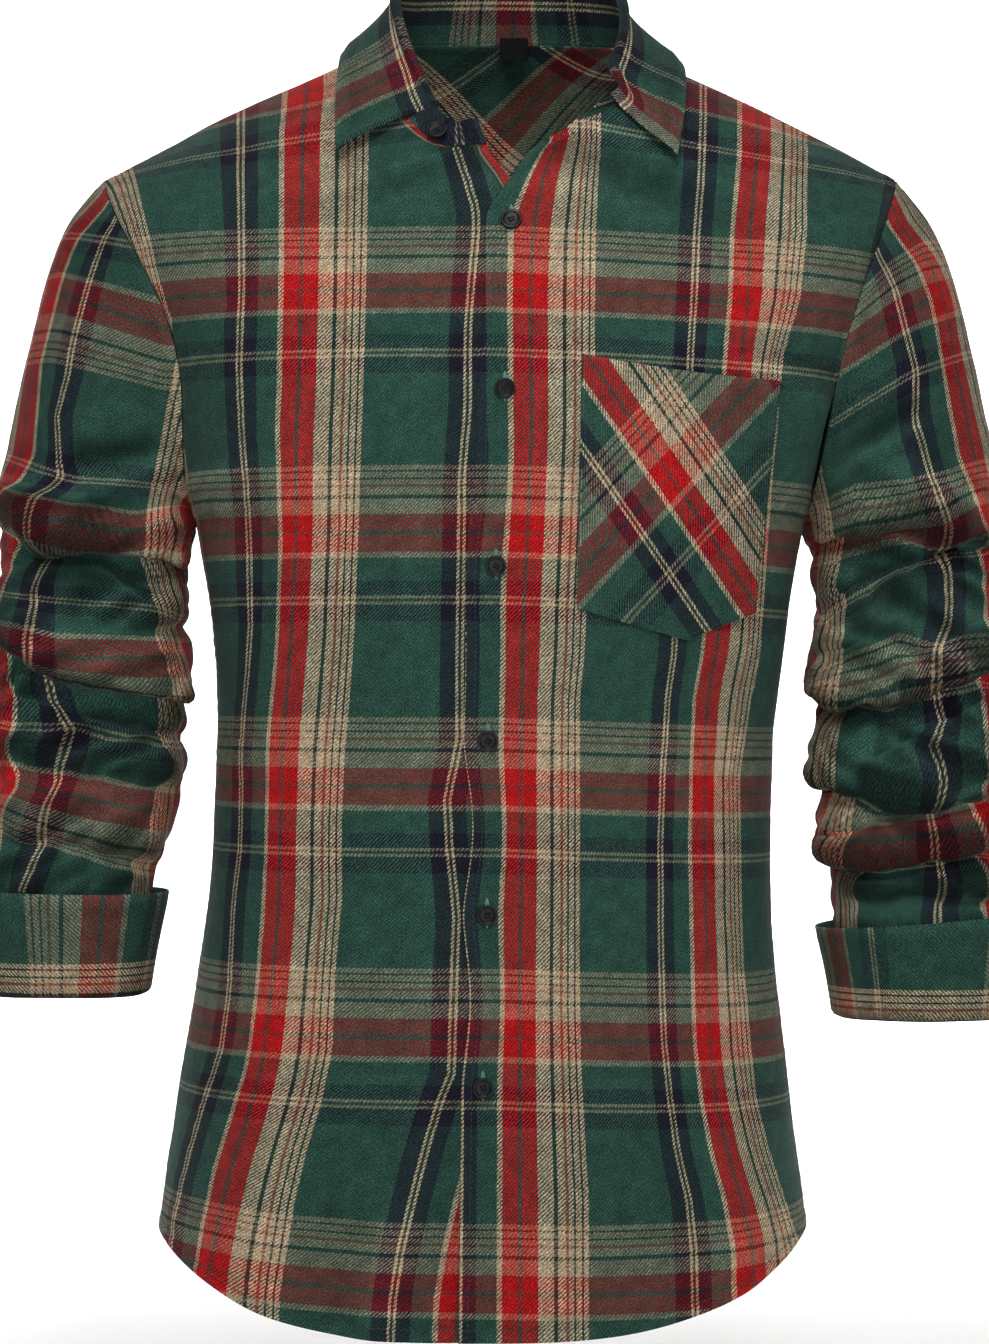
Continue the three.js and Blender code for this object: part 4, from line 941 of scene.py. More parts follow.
def clothPiece(name, rows, pattern, wall, edges, flip=False, closed=False, drape=1.0, crumple=0, seed=0):
    m, n = len(rows), len(rows[0])
    wide = n - 1 if closed else n

    def at(grid, r, c):
        return grid[clamp(r, 0, m - 1)][c % wide if closed else clamp(c, 0, n - 1)]

    def normals(grid):
        out = []
        for r in range(m):
            out.append([])
            for c in range(n):
                along = at(grid, r, c + 1) - at(grid, r, c - 1)
                up = at(grid, r + 1, c) - at(grid, r - 1, c)
                normal = along.cross(up).normalized()
                out[-1].append(-normal if flip else normal)
        return out

    across = [Path(row).at for row in rows]
    rise = [[0] * n]
    for r in range(1, m):
        rise.append([rise[-1][c] + (rows[r][c] - rows[r - 1][c]).length for c in range(n)])
    facing, outer, near = normals(rows), [], []
    for r in range(m):
        outer.append([])
        near.append([])
        for c, p in enumerate(rows[r]):
            reach = {"bottom": (rise[r][c], across[0][c]), "top": (rise[-1][c] - rise[r][c], across[-1][c]),
                     "start": (across[r][c], rise[r][0]), "end": (across[r][-1] - across[r][c], rise[r][-1])}
            loose = looseness(p, drape, crumple, seed)
            for k, (edge, kind) in enumerate(edges.items()):
                loose += seamRelief(kind, *reach[edge], seed + k * 5)
            closest = min([99] + [reach[edge][0] for edge in edges])
            held = smooth(min([99] + [reach[e][0] for e, kind in edges.items() if kind == "seam"]) / relief["calm"])
            outer[-1].append(p + facing[r][c] * (loose * mix(relief["calmShare"], 1, held)))
            near[-1].append(math.exp(-closest / relief["worn"]))
    facing = normals(outer)
    # Painted crease shade: how far each point lies sunk in a fold, which darkens the cloth's colour there
    cellAcross = max(1, round(relief["hollowReach"] / max(0.5, across[m // 2][-1] / (n - 1))))
    cellUp = max(1, round(relief["hollowReach"] / max(0.5, rise[-1][n // 2] / (m - 1))))
    hollow = []
    for r in range(m):
        for c in range(wide):
            around = [at(outer, r, c + cellAcross), at(outer, r, c - cellAcross), at(outer, r + cellUp, c),
                      at(outer, r - cellUp, c)]
            deep = (sum(around, Vector()) / 4 - outer[r][c]).dot(facing[r][c]) / relief["hollowDeep"]
            inside = cellUp <= r < m - cellUp and cellAcross <= c < n - cellAcross
            hollow.append(clamp(deep, -0.4, 1) if closed or inside else 0)
    inner = [[outer[r][c] - facing[r][c] * wall for c in range(n)] for r in range(m)]
    vertices, faces, patterns, nears, hollows = [], [], [], [], []

    def layer(grid):
        start = len(vertices)
        vertices.extend(p * mm for r in range(m) for p in grid[r][:wide])
        nears.extend(near[r][c] for r in range(m) for c in range(wide))
        hollows.extend(hollow)
        return start

    first, second = layer(outer), layer(inner)

    def index(start, r, c):
        return start + r * wide + (c % wide if closed else c)

    def quad(corners, places):
        if flip:
            corners, places = corners[::-1], places[::-1]
        faces.append(corners)
        patterns.extend(pattern[r][c] for r, c in places)

    for r in range(m - 1):
        for c in range(n - 1):
            places = [(r, c), (r, c + 1), (r + 1, c + 1), (r + 1, c)]
            quad([index(first, *q) for q in places], places)
            quad([index(second, *q) for q in places[::-1]], places[::-1])

    def rim(path):  # the rounded edge between the two faces
        start, count = len(vertices), len(path)
        for r, c, dr, dc in path:
            away = (outer[r][c] - at(outer, r + dr, c + dc)).normalized()
            vertices.append(((outer[r][c] + inner[r][c]) / 2 + away * wall * relief["rim"]) * mm)
            nears.append(1)
            hollows.append(0)
        for i in range(count):
            k = (i + 1) % count
            (r1, c1), (r2, c2) = path[i][:2], path[k][:2]
            last = (r1, c1 + 1) if closed and k == 0 else (r2, c2)
            places = [last, (r1, c1), (r1, c1), last]
            quad([index(first, r2, c2), index(first, r1, c1), start + i, start + k], places)
            quad([start + k, start + i, index(second, r1, c1), index(second, r2, c2)], places)

    if closed:
        rim([(0, c, 1, 0) for c in range(wide)])
        rim([(m - 1, c, -1, 0) for c in reversed(range(wide))])
    else:
        rim([(0, c, 1, 0) for c in range(n)] + [(r, n - 1, 0, -1) for r in range(1, m)]
            + [(m - 1, c, -1, 0) for c in range(n - 2, -1, -1)] + [(r, 0, 0, 1) for r in range(m - 2, 0, -1)])
    piece = meshPiece(name, vertices, faces)
    cloth = piece.data.uv_layers.new(name="cloth")
    for k, place in enumerate(patterns):
        cloth.data[k].uv = place
    for mark, values in (("seamNear", nears), ("paintedCreaseShade", hollows)):
        piece.data.attributes.new(mark, "FLOAT", "POINT").data.foreach_set("value", values)
    piece.data.update()
    area = sum((outer[r][c + 1] - outer[r][c]).cross(outer[r + 1][c] - outer[r][c]).length
               for r in range(m - 1) for c in range(n - 1)) * mm * mm
    return piece, outer, facing, area, (max(row[-1] for row in across) * mm, max(rise[-1]) * mm)


# Flannel: two sets of yarns crossed in a twill, brushed until their edges blur
# the crease shade entry sets how much painted shade darkens the fold hollows
flannel = {"warpOver": 0.94, "weftOver": 0.2, "twillFrom": 0.2, "twillTo": 0.36, "nap": 0.8, "mottle": 0.22,
           "fray": 0.5, "twillShade": 0.16, "uneven": 0.5, "hollow": 0.44, "worn": 0.10, "napHeight": 0.6,
           "napRough": 0.12, "rough": 0.84, "bump": 0.5, "bumpHeight": 0.0004, "gamma": 2.2}


def plug(tree, socket, value):
    if isinstance(value, bpy.types.NodeSocket):
        tree.links.new(value, socket)
    else:
        socket.default_value = value


def node(tree, kind, x, y, sockets=None, **values):
    made = tree.nodes.new(kind)
    made.location = (x, y)
    for name, value in values.items():
        setattr(made, name, value)
    for name, value in (sockets or {}).items():
        plug(tree, made.inputs[name], value)
    return made


def maths(tree, operation, a, b=None, x=0, y=0, c=None):
    made = node(tree, "ShaderNodeMath", x, y, operation=operation)
    for socket, value in zip(made.inputs, (a, b, c)):
        if value is not None:
            plug(tree, socket, value)
    return made.outputs[0]


def grainAt(tree, vector, scale, detail, x, y):
    return node(tree, "ShaderNodeTexNoise", x, y, {"Scale": scale, "Detail": detail, "Vector": vector})


def stripes(tree, place, axis, repeat, y):
    share = maths(tree, "FRACT", maths(tree, "DIVIDE", place.outputs[axis], repeat, -500, y))
    ramp = node(tree, "ShaderNodeValToRGB", -300, y, name=axis + "Stripes")
    ramp.color_ramp.interpolation = "CONSTANT"
    stops = ramp.color_ramp.elements
    while len(stops) < len(plaid["stripes"]):
        stops.new(0.5)
    for stop, (start, yarn) in zip(stops, plaid["stripes"]):
        stop.position = start
    for stop, (start, yarn) in zip(stops, plaid["stripes"]):
        stop.color = [v / 255 for v in plaid["yarns"][yarn]] + [1]
    tree.links.new(share, ramp.inputs[0])
    return ramp.outputs[0]


def makePlaidGroup():
    tree = bpy.data.node_groups.new("flannelPlaid", "ShaderNodeTree")
    for name, way, kind in (("Pattern", "INPUT", "Vector"), ("Seam", "INPUT", "Float"), ("CreaseShade", "INPUT", "Float"),
                            ("Color", "OUTPUT", "Color"), ("Height", "OUTPUT", "Float"),
                            ("Roughness", "OUTPUT", "Float")):
        tree.interface.new_socket(name, in_out=way, socket_type="NodeSocket" + kind)
    source = node(tree, "NodeGroupInput", -1400, 0)
    scaled = node(tree, "ShaderNodeVectorMath", -1200, 0, operation="MULTIPLY")
    plug(tree, scaled.inputs[0], source.outputs["Pattern"])
    plug(tree, scaled.inputs[1], (plaid["warp"], plaid["weft"], 0))
    cloth = scaled.outputs[0]  # the pattern's own place in millimetres
    frayed = grainAt(tree, cloth, 0.9, 1, -1000, 400)
    shift = node(tree, "ShaderNodeVectorMath", -800, 400, operation="SUBTRACT")
    plug(tree, shift.inputs[0], frayed.outputs["Color"])
    plug(tree, shift.inputs[1], (0.5, 0.5, 0.5))
    fray = node(tree, "ShaderNodeVectorMath", -700, 400, operation="MULTIPLY_ADD")
    for socket, value in zip(fray.inputs, (shift.outputs[0], [flannel["fray"] * 2] * 3, cloth)):
        plug(tree, socket, value)
    place = node(tree, "ShaderNodeSeparateXYZ", -600, 400, {"Vector": fray.outputs[0]})
    warp = stripes(tree, place, "X", plaid["warp"], 300)
    weft = stripes(tree, place, "Y", plaid["weft"], 50)
    diagonal = maths(tree, "SUBTRACT", place.outputs["X"], place.outputs["Y"], -500, -300)
    turn = maths(tree, "FRACT", maths(tree, "DIVIDE", diagonal, plaid["twill"] * 1.414, -400, -300))
    uneven = grainAt(tree, cloth, 0.6, 2, -1000, -1100)
    rib = maths(tree, "ABSOLUTE", maths(tree, "SUBTRACT", turn, 0.5, -300, -300))
    rib = maths(tree, "ADD", rib, maths(tree, "MULTIPLY_ADD", uneven.outputs["Fac"], flannel["uneven"], -300, -450,
                                        -flannel["uneven"] / 2), -200, -300)
    over = node(tree, "ShaderNodeMapRange", -100, -300, {
        "Value": rib, "From Min": flannel["twillFrom"], "From Max": flannel["twillTo"], "To Min": flannel["warpOver"],
        "To Max": flannel["weftOver"]}, interpolation_type="SMOOTHSTEP")
    yarns = node(tree, "ShaderNodeMix", 100, 200, {"Factor": over.outputs[0], "A": weft, "B": warp}, data_type="RGBA")
    nap = grainAt(tree, cloth, 1.0, 4, -1000, -500)
    mottle = grainAt(tree, cloth, 0.11, 3, -1000, -800)
    masks = ((nap.outputs["Fac"], "nap", -400), (mottle.outputs["Fac"], "mottle", -500),
             (over.outputs[0], "twillShade", -600))
    shades = [maths(tree, "MULTIPLY_ADD", mask, flannel[name] * 2, 100, y, 1 - flannel[name])
              for mask, name, y in masks]
    # Lighter rubbed cloth beside the seams, times painted crease shade that darkens the colour in the fold hollows
    worn = maths(tree, "MULTIPLY_ADD", source.outputs["Seam"], flannel["worn"], 100, -700,
                 maths(tree, "MULTIPLY_ADD", source.outputs["CreaseShade"], -flannel["hollow"], -100, -800, 1))
    total = maths(tree, "MULTIPLY", maths(tree, "MULTIPLY", shades[0], shades[1], 300, -400),
                  maths(tree, "MULTIPLY", shades[2], worn, 300, -600), 450, -500)
    toned = node(tree, "ShaderNodeVectorMath", 600, 100, {"Scale": total}, operation="SCALE")
    plug(tree, toned.inputs[0], yarns.outputs["Result"])
    gamma = node(tree, "ShaderNodeGamma", 800, 100, {"Gamma": flannel["gamma"], "Color": toned.outputs[0]})
    height = maths(tree, "MULTIPLY_ADD", nap.outputs["Fac"], flannel["napHeight"], 300, -800, over.outputs[0])
    rough = maths(tree, "MULTIPLY_ADD", nap.outputs["Fac"], flannel["napRough"], 300, -900, flannel["rough"])
    node(tree, "NodeGroupOutput", 1000, 0, {"Color": gamma.outputs[0], "Height": height, "Roughness": rough})
    return tree


plaidGroup = makePlaidGroup()


def newMaterial(name, values):
    material = bpy.data.materials.new(name)
    material.use_nodes = True
    tree = material.node_tree
    shader = tree.nodes["Principled BSDF"]
    for socket, value in values.items():
        shader.inputs[socket].default_value = value
    return material, tree, shader


def addBump(tree, shader, height, strength, distance):
    bump = node(tree, "ShaderNodeBump", -200, -200, {"Strength": strength, "Distance": distance, "Height": height})
    tree.links.new(bump.outputs[0], shader.inputs["Normal"])


def addTint(tree, shader, mask, dark, light):
    tint = node(tree, "ShaderNodeMix", -450, 100, {"Factor": mask, "A": (*dark, 1), "B": (*light, 1)},
                data_type="RGBA")
    tree.links.new(tint.outputs["Result"], shader.inputs["Base Color"])


def makeFlannel():
    material, tree, shader = newMaterial("brushedFlannel", {
        "Specular IOR Level": 0.08, "Sheen Weight": 0.03, "Sheen Roughness": 0.5})
    uv = node(tree, "ShaderNodeUVMap", -700, 100, uv_map="cloth")
    seam = node(tree, "ShaderNodeAttribute", -700, -100, attribute_name="seamNear")
    # painted crease shade, read from the mesh
    hollow = node(tree, "ShaderNodeAttribute", -700, -300, attribute_name="paintedCreaseShade")
    group = node(tree, "ShaderNodeGroup", -450, 0, node_tree=plaidGroup)
    for name, value in (("Pattern", uv.outputs[0]), ("Seam", seam.outputs["Fac"]), ("CreaseShade", hollow.outputs["Fac"])):
        plug(tree, group.inputs[name], value)
    tree.links.new(group.outputs["Color"], shader.inputs["Base Color"])
    tree.links.new(group.outputs["Roughness"], shader.inputs["Roughness"])
    addBump(tree, shader, group.outputs["Height"], flannel["bump"], flannel["bumpHeight"])
    return material


flannelCloth = makeFlannel()
print("flannel ready")

panels = {}


def addPanel(name, rows, pattern, edges, wall=1.1, **options):
    piece, outer, facing, area, size = clothPiece(name + "Cloth", rows, pattern, wall, edges, **options)
    piece.data.materials.append(flannelCloth)
    dress(piece, name)
    width, length = size[0] * 1.02, size[1] * 1.02
    share = clamp(area / (width * length), 0.31, 1)
    panels[name] = {"piece": piece, "outer": outer, "facing": facing}
    print(name, "cloth", round(area, 4), "m2", len(piece.data.polygons), "faces")


for side, name in ((1, "front_left"), (-1, "front_right")):
    rows = frontPanel(side)
    addPanel(name, rows, frontPattern(side, rows), {"bottom": "hem", "start": "fold", "end": "seam"}, flip=side < 0,
             seed=side * 3)
rows = backPanel()
addPanel("back", rows, backPattern(rows), {"bottom": "hem", "top": "seam", "start": "seam", "end": "seam"}, flip=True,
         seed=9)
rows = yokePanel()
addPanel("yoke", rows, yokePattern(rows), {"bottom": "seam", "start": "seam", "end": "seam"}, flip=True, drape=0.5,
         seed=12)
for side, name in ((1, "sleeve_left"), (-1, "sleeve_right")):
    rows, turns, bases = sleevePanel(side)
    addPanel(name, rows, sleevePattern(side, rows, turns, bases), {"bottom": "seam"}, flip=side < 0, closed=True,
             drape=1.1, crumple=6, seed=20 + side)
for side, name in ((1, "cuff_left"), (-1, "cuff_right")):
    rows = cuffPanel(side)
    addPanel(name, rows, cuffPattern(side, rows), {"bottom": "trim"}, wall=1.5, flip=side < 0, drape=0.6,
             seed=30 + side)
rows = standPanel()
addPanel("collar_stand", rows, standPattern(rows), {"bottom": "trim"}, drape=0.2, seed=40)
rows = leafPanel()
addPanel("collar_leaf", rows, leafPattern(rows), {"top": "trim", "start": "trim", "end": "trim"}, wall=1.4, flip=True,
         drape=0.5, seed=44)
faceY = gridFace(panels["front_left"]["outer"])
rows = pocketPanel(faceY)
addPanel("pocket", rows, pocketPattern(rows), {"bottom": "trim", "top": "hem", "start": "trim", "end": "trim"},
         wall=1.0, drape=0.3, seed=50)

# Sewing thread: short raised stitches that follow an edge of a panel
thread = {"pitch": 3.1, "long": 2.3, "thick": 0.5, "sink": 0.15, "sides": 5, "steps": 4}


def alongEdge(panel, edge, inset):  # places and facings at a distance from an edge of a panel
    outer, facing = panels[panel]["outer"], panels[panel]["facing"]
    m, n = len(outer), len(outer[0])
    if edge in ("bottom", "top"):
        lines = [[(r, c) for r in (range(m) if edge == "bottom" else range(m - 1, -1, -1))] for c in range(n)]
    else:
        lines = [[(r, c) for c in (range(n) if edge == "start" else range(n - 1, -1, -1))] for r in range(m)]
    path = []
    for cells in lines:
        gone = 0
        for (r0, c0), (r1, c1) in zip(cells, cells[1:]):
            step = (outer[r1][c1] - outer[r0][c0]).length
            if gone + step >= inset:
                t = (inset - gone) / max(step, 1e-6)
                face = facing[r0][c0].lerp(facing[r1][c1], t).normalized()
                path.append((outer[r0][c0].lerp(outer[r1][c1], t), face))
                break
            gone += step
    return path


def stitchRow(name, path, material, first=2.0, last=2.0):
    at, vertices, faces = Path([place for place, _ in path]).at, [], []
    k, count = 0, int((at[-1] - first - last) / thread["pitch"])
    for number in range(count):
        start = first + number * thread["pitch"]
        rings = []
        for step in range(thread["steps"] + 1):
            share = step / thread["steps"]
            want = start + share * thread["long"]
            while k < len(at) - 2 and at[k + 1] < want:
                k += 1
            while k and at[k] > want:
                k -= 1
            t = (want - at[k]) / max(at[k + 1] - at[k], 1e-6)
            (here, up), (there, upThere) = path[k:k + 2]
            face = up.lerp(upThere, t).normalized()
            across = (there - here).normalized().cross(face).normalized()
            lift = math.sin(math.pi * share) * (thread["thick"] * 0.5 + thread["sink"]) - thread["sink"]
            centre = here.lerp(there, t) + face * lift
            wide = thread["thick"] / 2 * (0.55 + 0.45 * math.sin(math.pi * share))
            ring = []
            for i in range(thread["sides"]):
                a = i / thread["sides"] * 2 * math.pi
                ring.append(len(vertices))
                vertices.append((centre + (across * math.cos(a) + face * math.sin(a)) * wide) * mm)
            rings.append(ring)
        for low, high in zip(rings, rings[1:]):
            for i in range(thread["sides"]):
                j = (i + 1) % thread["sides"]
                faces.append((low[j], low[i], high[i], high[j]))
        faces += [tuple(rings[0]), tuple(reversed(rings[-1]))]
    piece = meshPiece(name, vertices, faces)
    piece.data.materials.append(material)
    dress(piece)
    return count


fibre = {"dark": 0.6, "light": 1.25, "detail": 3, "bump": 0.6, "bumpHeight": 0.0001}


def makeFibre(name, color, rough, ribs):  # twisted thread
    material, tree, shader = newMaterial(name, {"Roughness": rough, "Specular IOR Level": 0.25})
    place = node(tree, "ShaderNodeTexCoord", -900, 0)
    grain = grainAt(tree, place.outputs["Object"], ribs, fibre["detail"], -700, 0).outputs["Fac"]
    dark, light = [[(v / 255 * fibre[shade]) ** 2.2 for v in color] for shade in ("dark", "light")]
    addTint(tree, shader, grain, dark, light)
    addBump(tree, shader, grain, fibre["bump"], fibre["bumpHeight"])
    return material


stitchThread = makeFibre("sewingThread", (50, 72, 66), 0.7, 2500)
seamRows = [
    ("hemStitchLeft", "front_left", "bottom", 6.5), ("hemStitchRight", "front_right", "bottom", 6.5),
    ("hemStitchBack", "back", "bottom", 6.5), ("edgeStitchLeft", "front_left", "start", 5),
    ("cuffStitchLeft", "cuff_left", "bottom", 5), ("cuffStitchRight", "cuff_right", "bottom", 5),
    ("yokeStitch", "yoke", "bottom", 2.5), ("pocketStitchLow", "pocket", "bottom", 2),
    ("pocketStitchIn", "pocket", "start", 2), ("pocketStitchOut", "pocket", "end", 2),
    ("pocketStitchTop", "pocket", "top", 20), ("leafStitch", "collar_leaf", "top", 5),
    ("leafStitchRight", "collar_leaf", "start", 5), ("leafStitchLeft", "collar_leaf", "end", 5),
    ("standStitch", "collar_stand", "bottom", 3), ("standStitchTop", "collar_stand", "top", 2.5)]
total = sum(stitchRow(name, alongEdge(panel, edge, inset), stitchThread) for name, panel, edge, inset in seamRows)
print(total, "stitches")

# Buttons: turned discs with a rounded rim, a dished middle and four holes with thread
button = {"radius": 5.7, "thick": 2.4, "rim": 1.25, "dish": 0.7, "holeAt": 1.25, "hole": 0.62, "air": 0.25,
          "well": 0.5, "floor": 1.2, "round": 0.28, "threadThick": 0.36, "threadLong": 2.9, "collarAt": 0.047}


def choose(*pieces):  # selects these alone, and the first is the active one
    bpy.ops.object.select_all(action="DESELECT")
    for piece in pieces:
        piece.select_set(True)
        bpy.context.view_layer.objects.active = pieces[0]


def applyModifier(piece, kind, **values):
    choose(piece)
    made = piece.modifiers.new("shape", kind)
    for name, value in values.items():
        setattr(made, name, value)
    bpy.ops.object.modifier_apply(modifier=made.name)


def makeButton():
    choose()
    bpy.ops.mesh.primitive_cylinder_add(vertices=48, radius=button["radius"] * mm, depth=button["thick"] * mm)
    disc = bpy.context.object
    bpy.ops.object.mode_set(mode="EDIT")
    bpy.ops.mesh.select_mode(type="FACE")
    bpy.ops.mesh.select_all(action="DESELECT")
    bpy.ops.object.mode_set(mode="OBJECT")
    for face in disc.data.polygons:
        face.select = face.normal.z > 0.9
    bpy.ops.object.mode_set(mode="EDIT")
    bpy.ops.mesh.inset(thickness=button["rim"] * mm)
    bpy.ops.mesh.inset(thickness=button["well"] * mm, depth=-button["dish"] * mm)
    bpy.ops.mesh.inset(thickness=button["floor"] * mm, depth=0)
    bpy.ops.object.mode_set(mode="OBJECT")
    holes, reach = [], button["holeAt"] * mm
    for turn in (45, 135, 225, 315):
        a = math.radians(turn)
        choose()
        bpy.ops.mesh.primitive_cylinder_add(vertices=16, radius=button["hole"] * mm, depth=6 * mm,
                                            location=(reach * math.cos(a), reach * math.sin(a), 0))
        holes.append(bpy.context.object)
    choose(*holes)
    bpy.ops.object.join()
    drills = bpy.context.object
    applyModifier(disc, "BOOLEAN", operation="DIFFERENCE", solver="EXACT", object=drills)
    bpy.data.objects.remove(drills)
    applyModifier(disc, "BEVEL", width=button["round"] * mm, segments=3, limit_method="ANGLE",
                  angle_limit=math.radians(35))
    choose(disc)
    bpy.ops.object.shade_smooth_by_angle(angle=math.radians(35))
    return disc


def makeResin():
    material, tree, shader = newMaterial("blackResin", {
        "Coat Weight": 0.08, "Specular IOR Level": 0.16, "Coat Roughness": 0.15})
    place = node(tree, "ShaderNodeTexCoord", -900, 0)
    cloud = grainAt(tree, place.outputs["Object"], 260, 4, -700, 0).outputs["Fac"]
    addTint(tree, shader, cloud, (0.0022, 0.0022, 0.0026), (0.011, 0.011, 0.013))
    rough = node(tree, "ShaderNodeMapRange", -450, -150, {"To Min": 0.2, "To Max": 0.42, "Value": cloud})
    tree.links.new(rough.outputs[0], shader.inputs["Roughness"])
    return material


blackResin = makeResin()
buttonThread = makeFibre("buttonThread", (30, 32, 36), 0.6, 2500)
holeThread = makeFibre("buttonholeThread", (96, 138, 128), 0.65, 2200)


def turnedTo(face, up=Vector((0, 0, 1))):
    across = up.cross(face).normalized()
    upward = face.cross(across)
    return Matrix((across, upward, face)).transposed().to_4x4()


def addThread(disc):  # two parallel pairs of thread over the middle of the button
    bars, height = [], button["thick"] / 2 - button["dish"] + 0.22
    for y in (-1, 1):
        choose()
        bpy.ops.mesh.primitive_cylinder_add(
            vertices=10, radius=button["threadThick"] * mm, depth=button["threadLong"] * mm,
            location=(0, y * button["holeAt"] * 0.72 * mm, height * mm), rotation=(0, math.radians(90), 0))
        bar = bpy.context.object
        bpy.ops.object.transform_apply(location=True, rotation=True, scale=True)
        bar.data.materials.append(buttonThread)
        applyModifier(bar, "BEVEL", width=0.2 * mm, segments=2)
        bars.append(bar)
    choose(disc, *bars)
    bpy.ops.object.join()


master = makeButton()
master.data.materials.append(blackResin)
addThread(master)


def placeButton(name, place, face, spin):
    piece = bpy.data.objects.new(name + "Disc", master.data.copy())
    bpy.context.scene.collection.objects.link(piece)
    lift = Matrix.Translation((place + face * (button["thick"] / 2 + button["air"])) * mm)
    piece.data.transform(lift @ turnedTo(face) @ Matrix.Rotation(math.radians(spin), 4, "Z"))
    dress(piece, name)


buttonhole = {"long": 15.5, "wide": 0.75, "above": 1.2, "thick": 0.45, "across": 1.6, "ends": 1.4, "high": 0.42,
              "sink": 0.12, "ripple": 0.12, "ripples": 22}


def placeButtonhole(name, x, z):
    hole = buttonhole
    choose()
    bpy.ops.mesh.primitive_torus_add(major_radius=1, minor_radius=hole["thick"], major_segments=44, minor_segments=8)
    piece = bpy.context.object
    piece.name = piece.data.name = name
    for vertex in piece.data.vertices:
        a = vertex.co
        reach = math.hypot(a.x, a.y)
        edge = reach - 1
        ripple = 1 + hole["ripple"] * math.sin(math.atan2(a.y, a.x) * hole["ripples"])
        px = x + (a.x / reach) * (hole["wide"] + edge * hole["across"] * ripple)
        pz = z + hole["above"] + (a.y / reach) * (hole["long"] / 2 + edge * hole["ends"])
        vertex.co = Vector((px, faceY(px, pz) - hole["sink"] - a.z / hole["thick"] * hole["high"], pz)) * mm
    piece.data.materials.append(holeThread)
    choose(piece)
    bpy.ops.object.shade_smooth()
    bpy.ops.object.mode_set(mode="EDIT")
    bpy.ops.mesh.select_all(action="SELECT")
    bpy.ops.mesh.normals_make_consistent(inside=False)
    bpy.ops.object.mode_set(mode="OBJECT")
    dress(piece)


for number, (x, z) in enumerate(buttonPlaces, 1):
    surface = Vector((x, faceY(x, z), z))
    slope = Vector(((faceY(x + 5, z) - faceY(x - 5, z)) / 10, -1, (faceY(x, z + 5) - faceY(x, z - 5)) / 10))
    placeButton("button_" + str(number), surface + slope.normalized() * 0.3, slope.normalized(), 17 * number)
    placeButtonhole("buttonhole" + str(number), x, z)
low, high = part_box("button_collar")
middle = (Vector(low) + Vector(high)) / 2 / mm
at = button["collarAt"]
ahead = standPoint(at + 0.02, 0.5, 0) - standPoint(at - 0.02, 0.5, 0)
face = ahead.cross(standPoint(at, 1, 0) - standPoint(at, 0, 0)).normalized()
if face.y > 0:
    face = -face
placeButton("button_collar", middle - face * (button["thick"] / 2 + button["air"]), face, 30)
bpy.data.objects.remove(master)
print("buttons ready")

# The bare woven label inside the neck
label = {"wall": 0.45, "across": 20, "down": 14, "size": 0.98, "off": 0.35, "bow": 0.3, "ripple": (0.15, 0.12),
         "round": 0.12, "weave": 420, "bump": 0.4, "bumpHeight": 0.0002}


def makeTape():
    material, tree, shader = newMaterial("blackTape", {"Roughness": 0.8, "Specular IOR Level": 0.1})
    place = node(tree, "ShaderNodeTexCoord", -1000, 0)
    waves = [node(tree, "ShaderNodeTexWave", -750, y, {"Scale": label["weave"], "Distortion": 0.6,
                                                      "Vector": place.outputs["Object"]}, bands_direction=turn)
             for turn, y in (("X", 100), ("Z", -150))]
    weave = maths(tree, "MULTIPLY", waves[0].outputs["Fac"], waves[1].outputs["Fac"], -550, 0)
    addTint(tree, shader, weave, (0.003, 0.003, 0.0035), (0.011, 0.011, 0.012))
    addBump(tree, shader, weave, label["bump"], label["bumpHeight"])
    return material


def makeLabel():
    low, high = (Vector(corner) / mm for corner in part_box("neck_label"))
    middle, wide, tall = (low + high) / 2, high.x - low.x, high.z - low.z
    choose()
    bpy.ops.mesh.primitive_grid_add(x_subdivisions=label["across"], y_subdivisions=label["down"], size=1)
    piece = bpy.context.object
    piece.name = piece.data.name = "neckLabelTape"
    for vertex in piece.data.vertices:
        u, v = vertex.co.x, vertex.co.y
        bow = label["bow"] * math.cos(math.pi * u) * (0.5 - v)
        y = low.y + label["off"] - bow + label["ripple"][0] * math.sin(9 * u + 5 * v)
        z = middle.z + v * tall * label["size"] + label["ripple"][1] * math.sin(7 * u)
        vertex.co = Vector((middle.x + u * wide * label["size"], y, z)) * mm
    applyModifier(piece, "SOLIDIFY", thickness=label["wall"] * mm, offset=0)
    applyModifier(piece, "BEVEL", width=label["round"] * mm, segments=2, limit_method="ANGLE")
    bpy.ops.object.shade_smooth_by_angle(angle=math.radians(40))
    piece.data.materials.clear()
    piece.data.materials.append(makeTape())
    dress(piece, "neck_label")


makeLabel()
print("label ready")

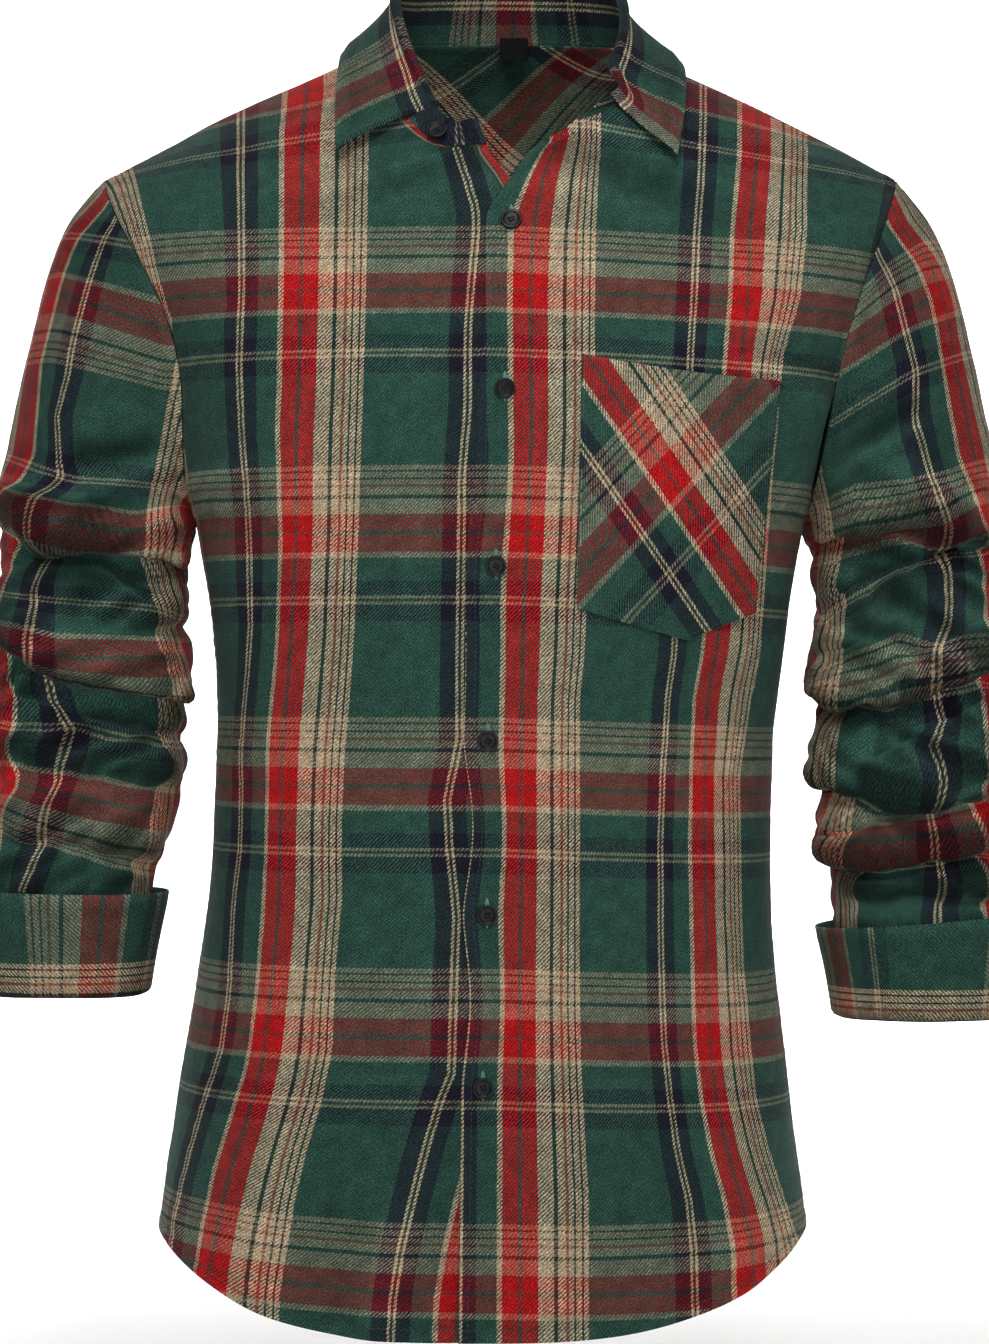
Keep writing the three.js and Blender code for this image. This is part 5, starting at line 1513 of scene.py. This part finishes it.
# The photographer's side: pale floor and wall in one sweep, soft lights, and the camera straight in front
studio = {"floor": -0.79, "floorFrom": -4.4, "wallFrom": 4.6, "curve": 1.6, "bends": 16, "wallTop": 6, "half": 3.2,
          "paper": 0.93, "backdrop": 0.97, "air": 0.12, "lights": {
    "key": {"at": (-0.2, -2.3, 1.35), "to": (0, 0, -0.33), "size": 1.1, "watts": 35.5},
    "fill": {"at": (0.8, -2.6, -0.1), "to": (0, 0, -0.2), "size": 1.6, "watts": 9},
    "top": {"at": (0.1, -0.9, 1.9), "to": (0, 0, -0.1), "size": 1.0, "watts": 12},
    "wallLeft": {"at": (-2.6, 2.2, 0.9), "to": (-0.3, 5.2, -0.9), "size": 1.6, "watts": 330},
    "wallRight": {"at": (2.6, 2.2, 0.9), "to": (0.3, 5.2, -0.9), "size": 1.6, "watts": 330},
    "floorFront": {"at": (0, -2.4, 1.6), "to": (0, -5.5, -0.8), "size": 1.6, "watts": 170},
    "behind": {"at": (-0.6, 2.6, 1.5), "to": (0, 0, -0.35), "size": 1.4, "watts": 14}}}


def makeStage():
    start, radius, bends = studio["wallFrom"], studio["curve"], studio["bends"]
    profile = [(studio["floorFrom"], studio["floor"]), (start, studio["floor"])]
    for i in range(1, bends + 1):
        a = math.radians(i * 90 / bends)
        profile.append((start + radius * math.sin(a), studio["floor"] + radius * (1 - math.cos(a))))
    profile.append((start + radius, studio["wallTop"]))
    n = len(profile)
    vertices = [(x, y, z) for x in (-studio["half"], studio["half"]) for y, z in profile]
    sweep = meshPiece("studioSweep", vertices, [(i, i + 1, n + i + 1, n + i) for i in range(n - 1)])
    sweep.data.materials.append(newMaterial("palePaper", {
        "Base Color": (studio["paper"], studio["paper"], studio["paper"], 1), "Roughness": 0.9})[0])


def makeLights():
    for name, lamp in studio["lights"].items():
        light = bpy.data.lights.new(name + "Light", "AREA")
        light.shape, light.size, light.energy = "DISK", lamp["size"], lamp["watts"]
        made = bpy.data.objects.new(name + "Light", light)
        made.location = lamp["at"]
        made.rotation_euler = (Vector(lamp["to"]) - Vector(lamp["at"])).to_track_quat("-Z", "Y").to_euler()
        bpy.context.scene.collection.objects.link(made)
    world = bpy.data.worlds.new("studioAir")
    world.use_nodes = True
    tree = world.node_tree
    air = tree.nodes["Background"]
    air.inputs["Color"].default_value = (1, 1, 1, 1)
    seen = node(tree, "ShaderNodeLightPath", -600, 0).outputs["Is Camera Ray"]
    strength = maths(tree, "MULTIPLY_ADD", seen, studio["backdrop"] - studio["air"], -300, 0, studio["air"])
    tree.links.new(strength, air.inputs["Strength"])
    bpy.context.scene.world = world


makeStage()
makeLights()
bpy.context.scene.view_settings.view_transform = "Standard"
camera = bpy.data.objects.new("camera", bpy.data.cameras.new("camera"))
camera.location = (view["x"] * mm, view["y"] * mm, view["z"] * mm)
camera.rotation_euler = (math.radians(90), 0, 0)
camera.data.lens, camera.data.sensor_width = view["lens"], view["sensor"]
bpy.context.scene.collection.objects.link(camera)
bpy.context.scene.camera = camera
print("studio ready")
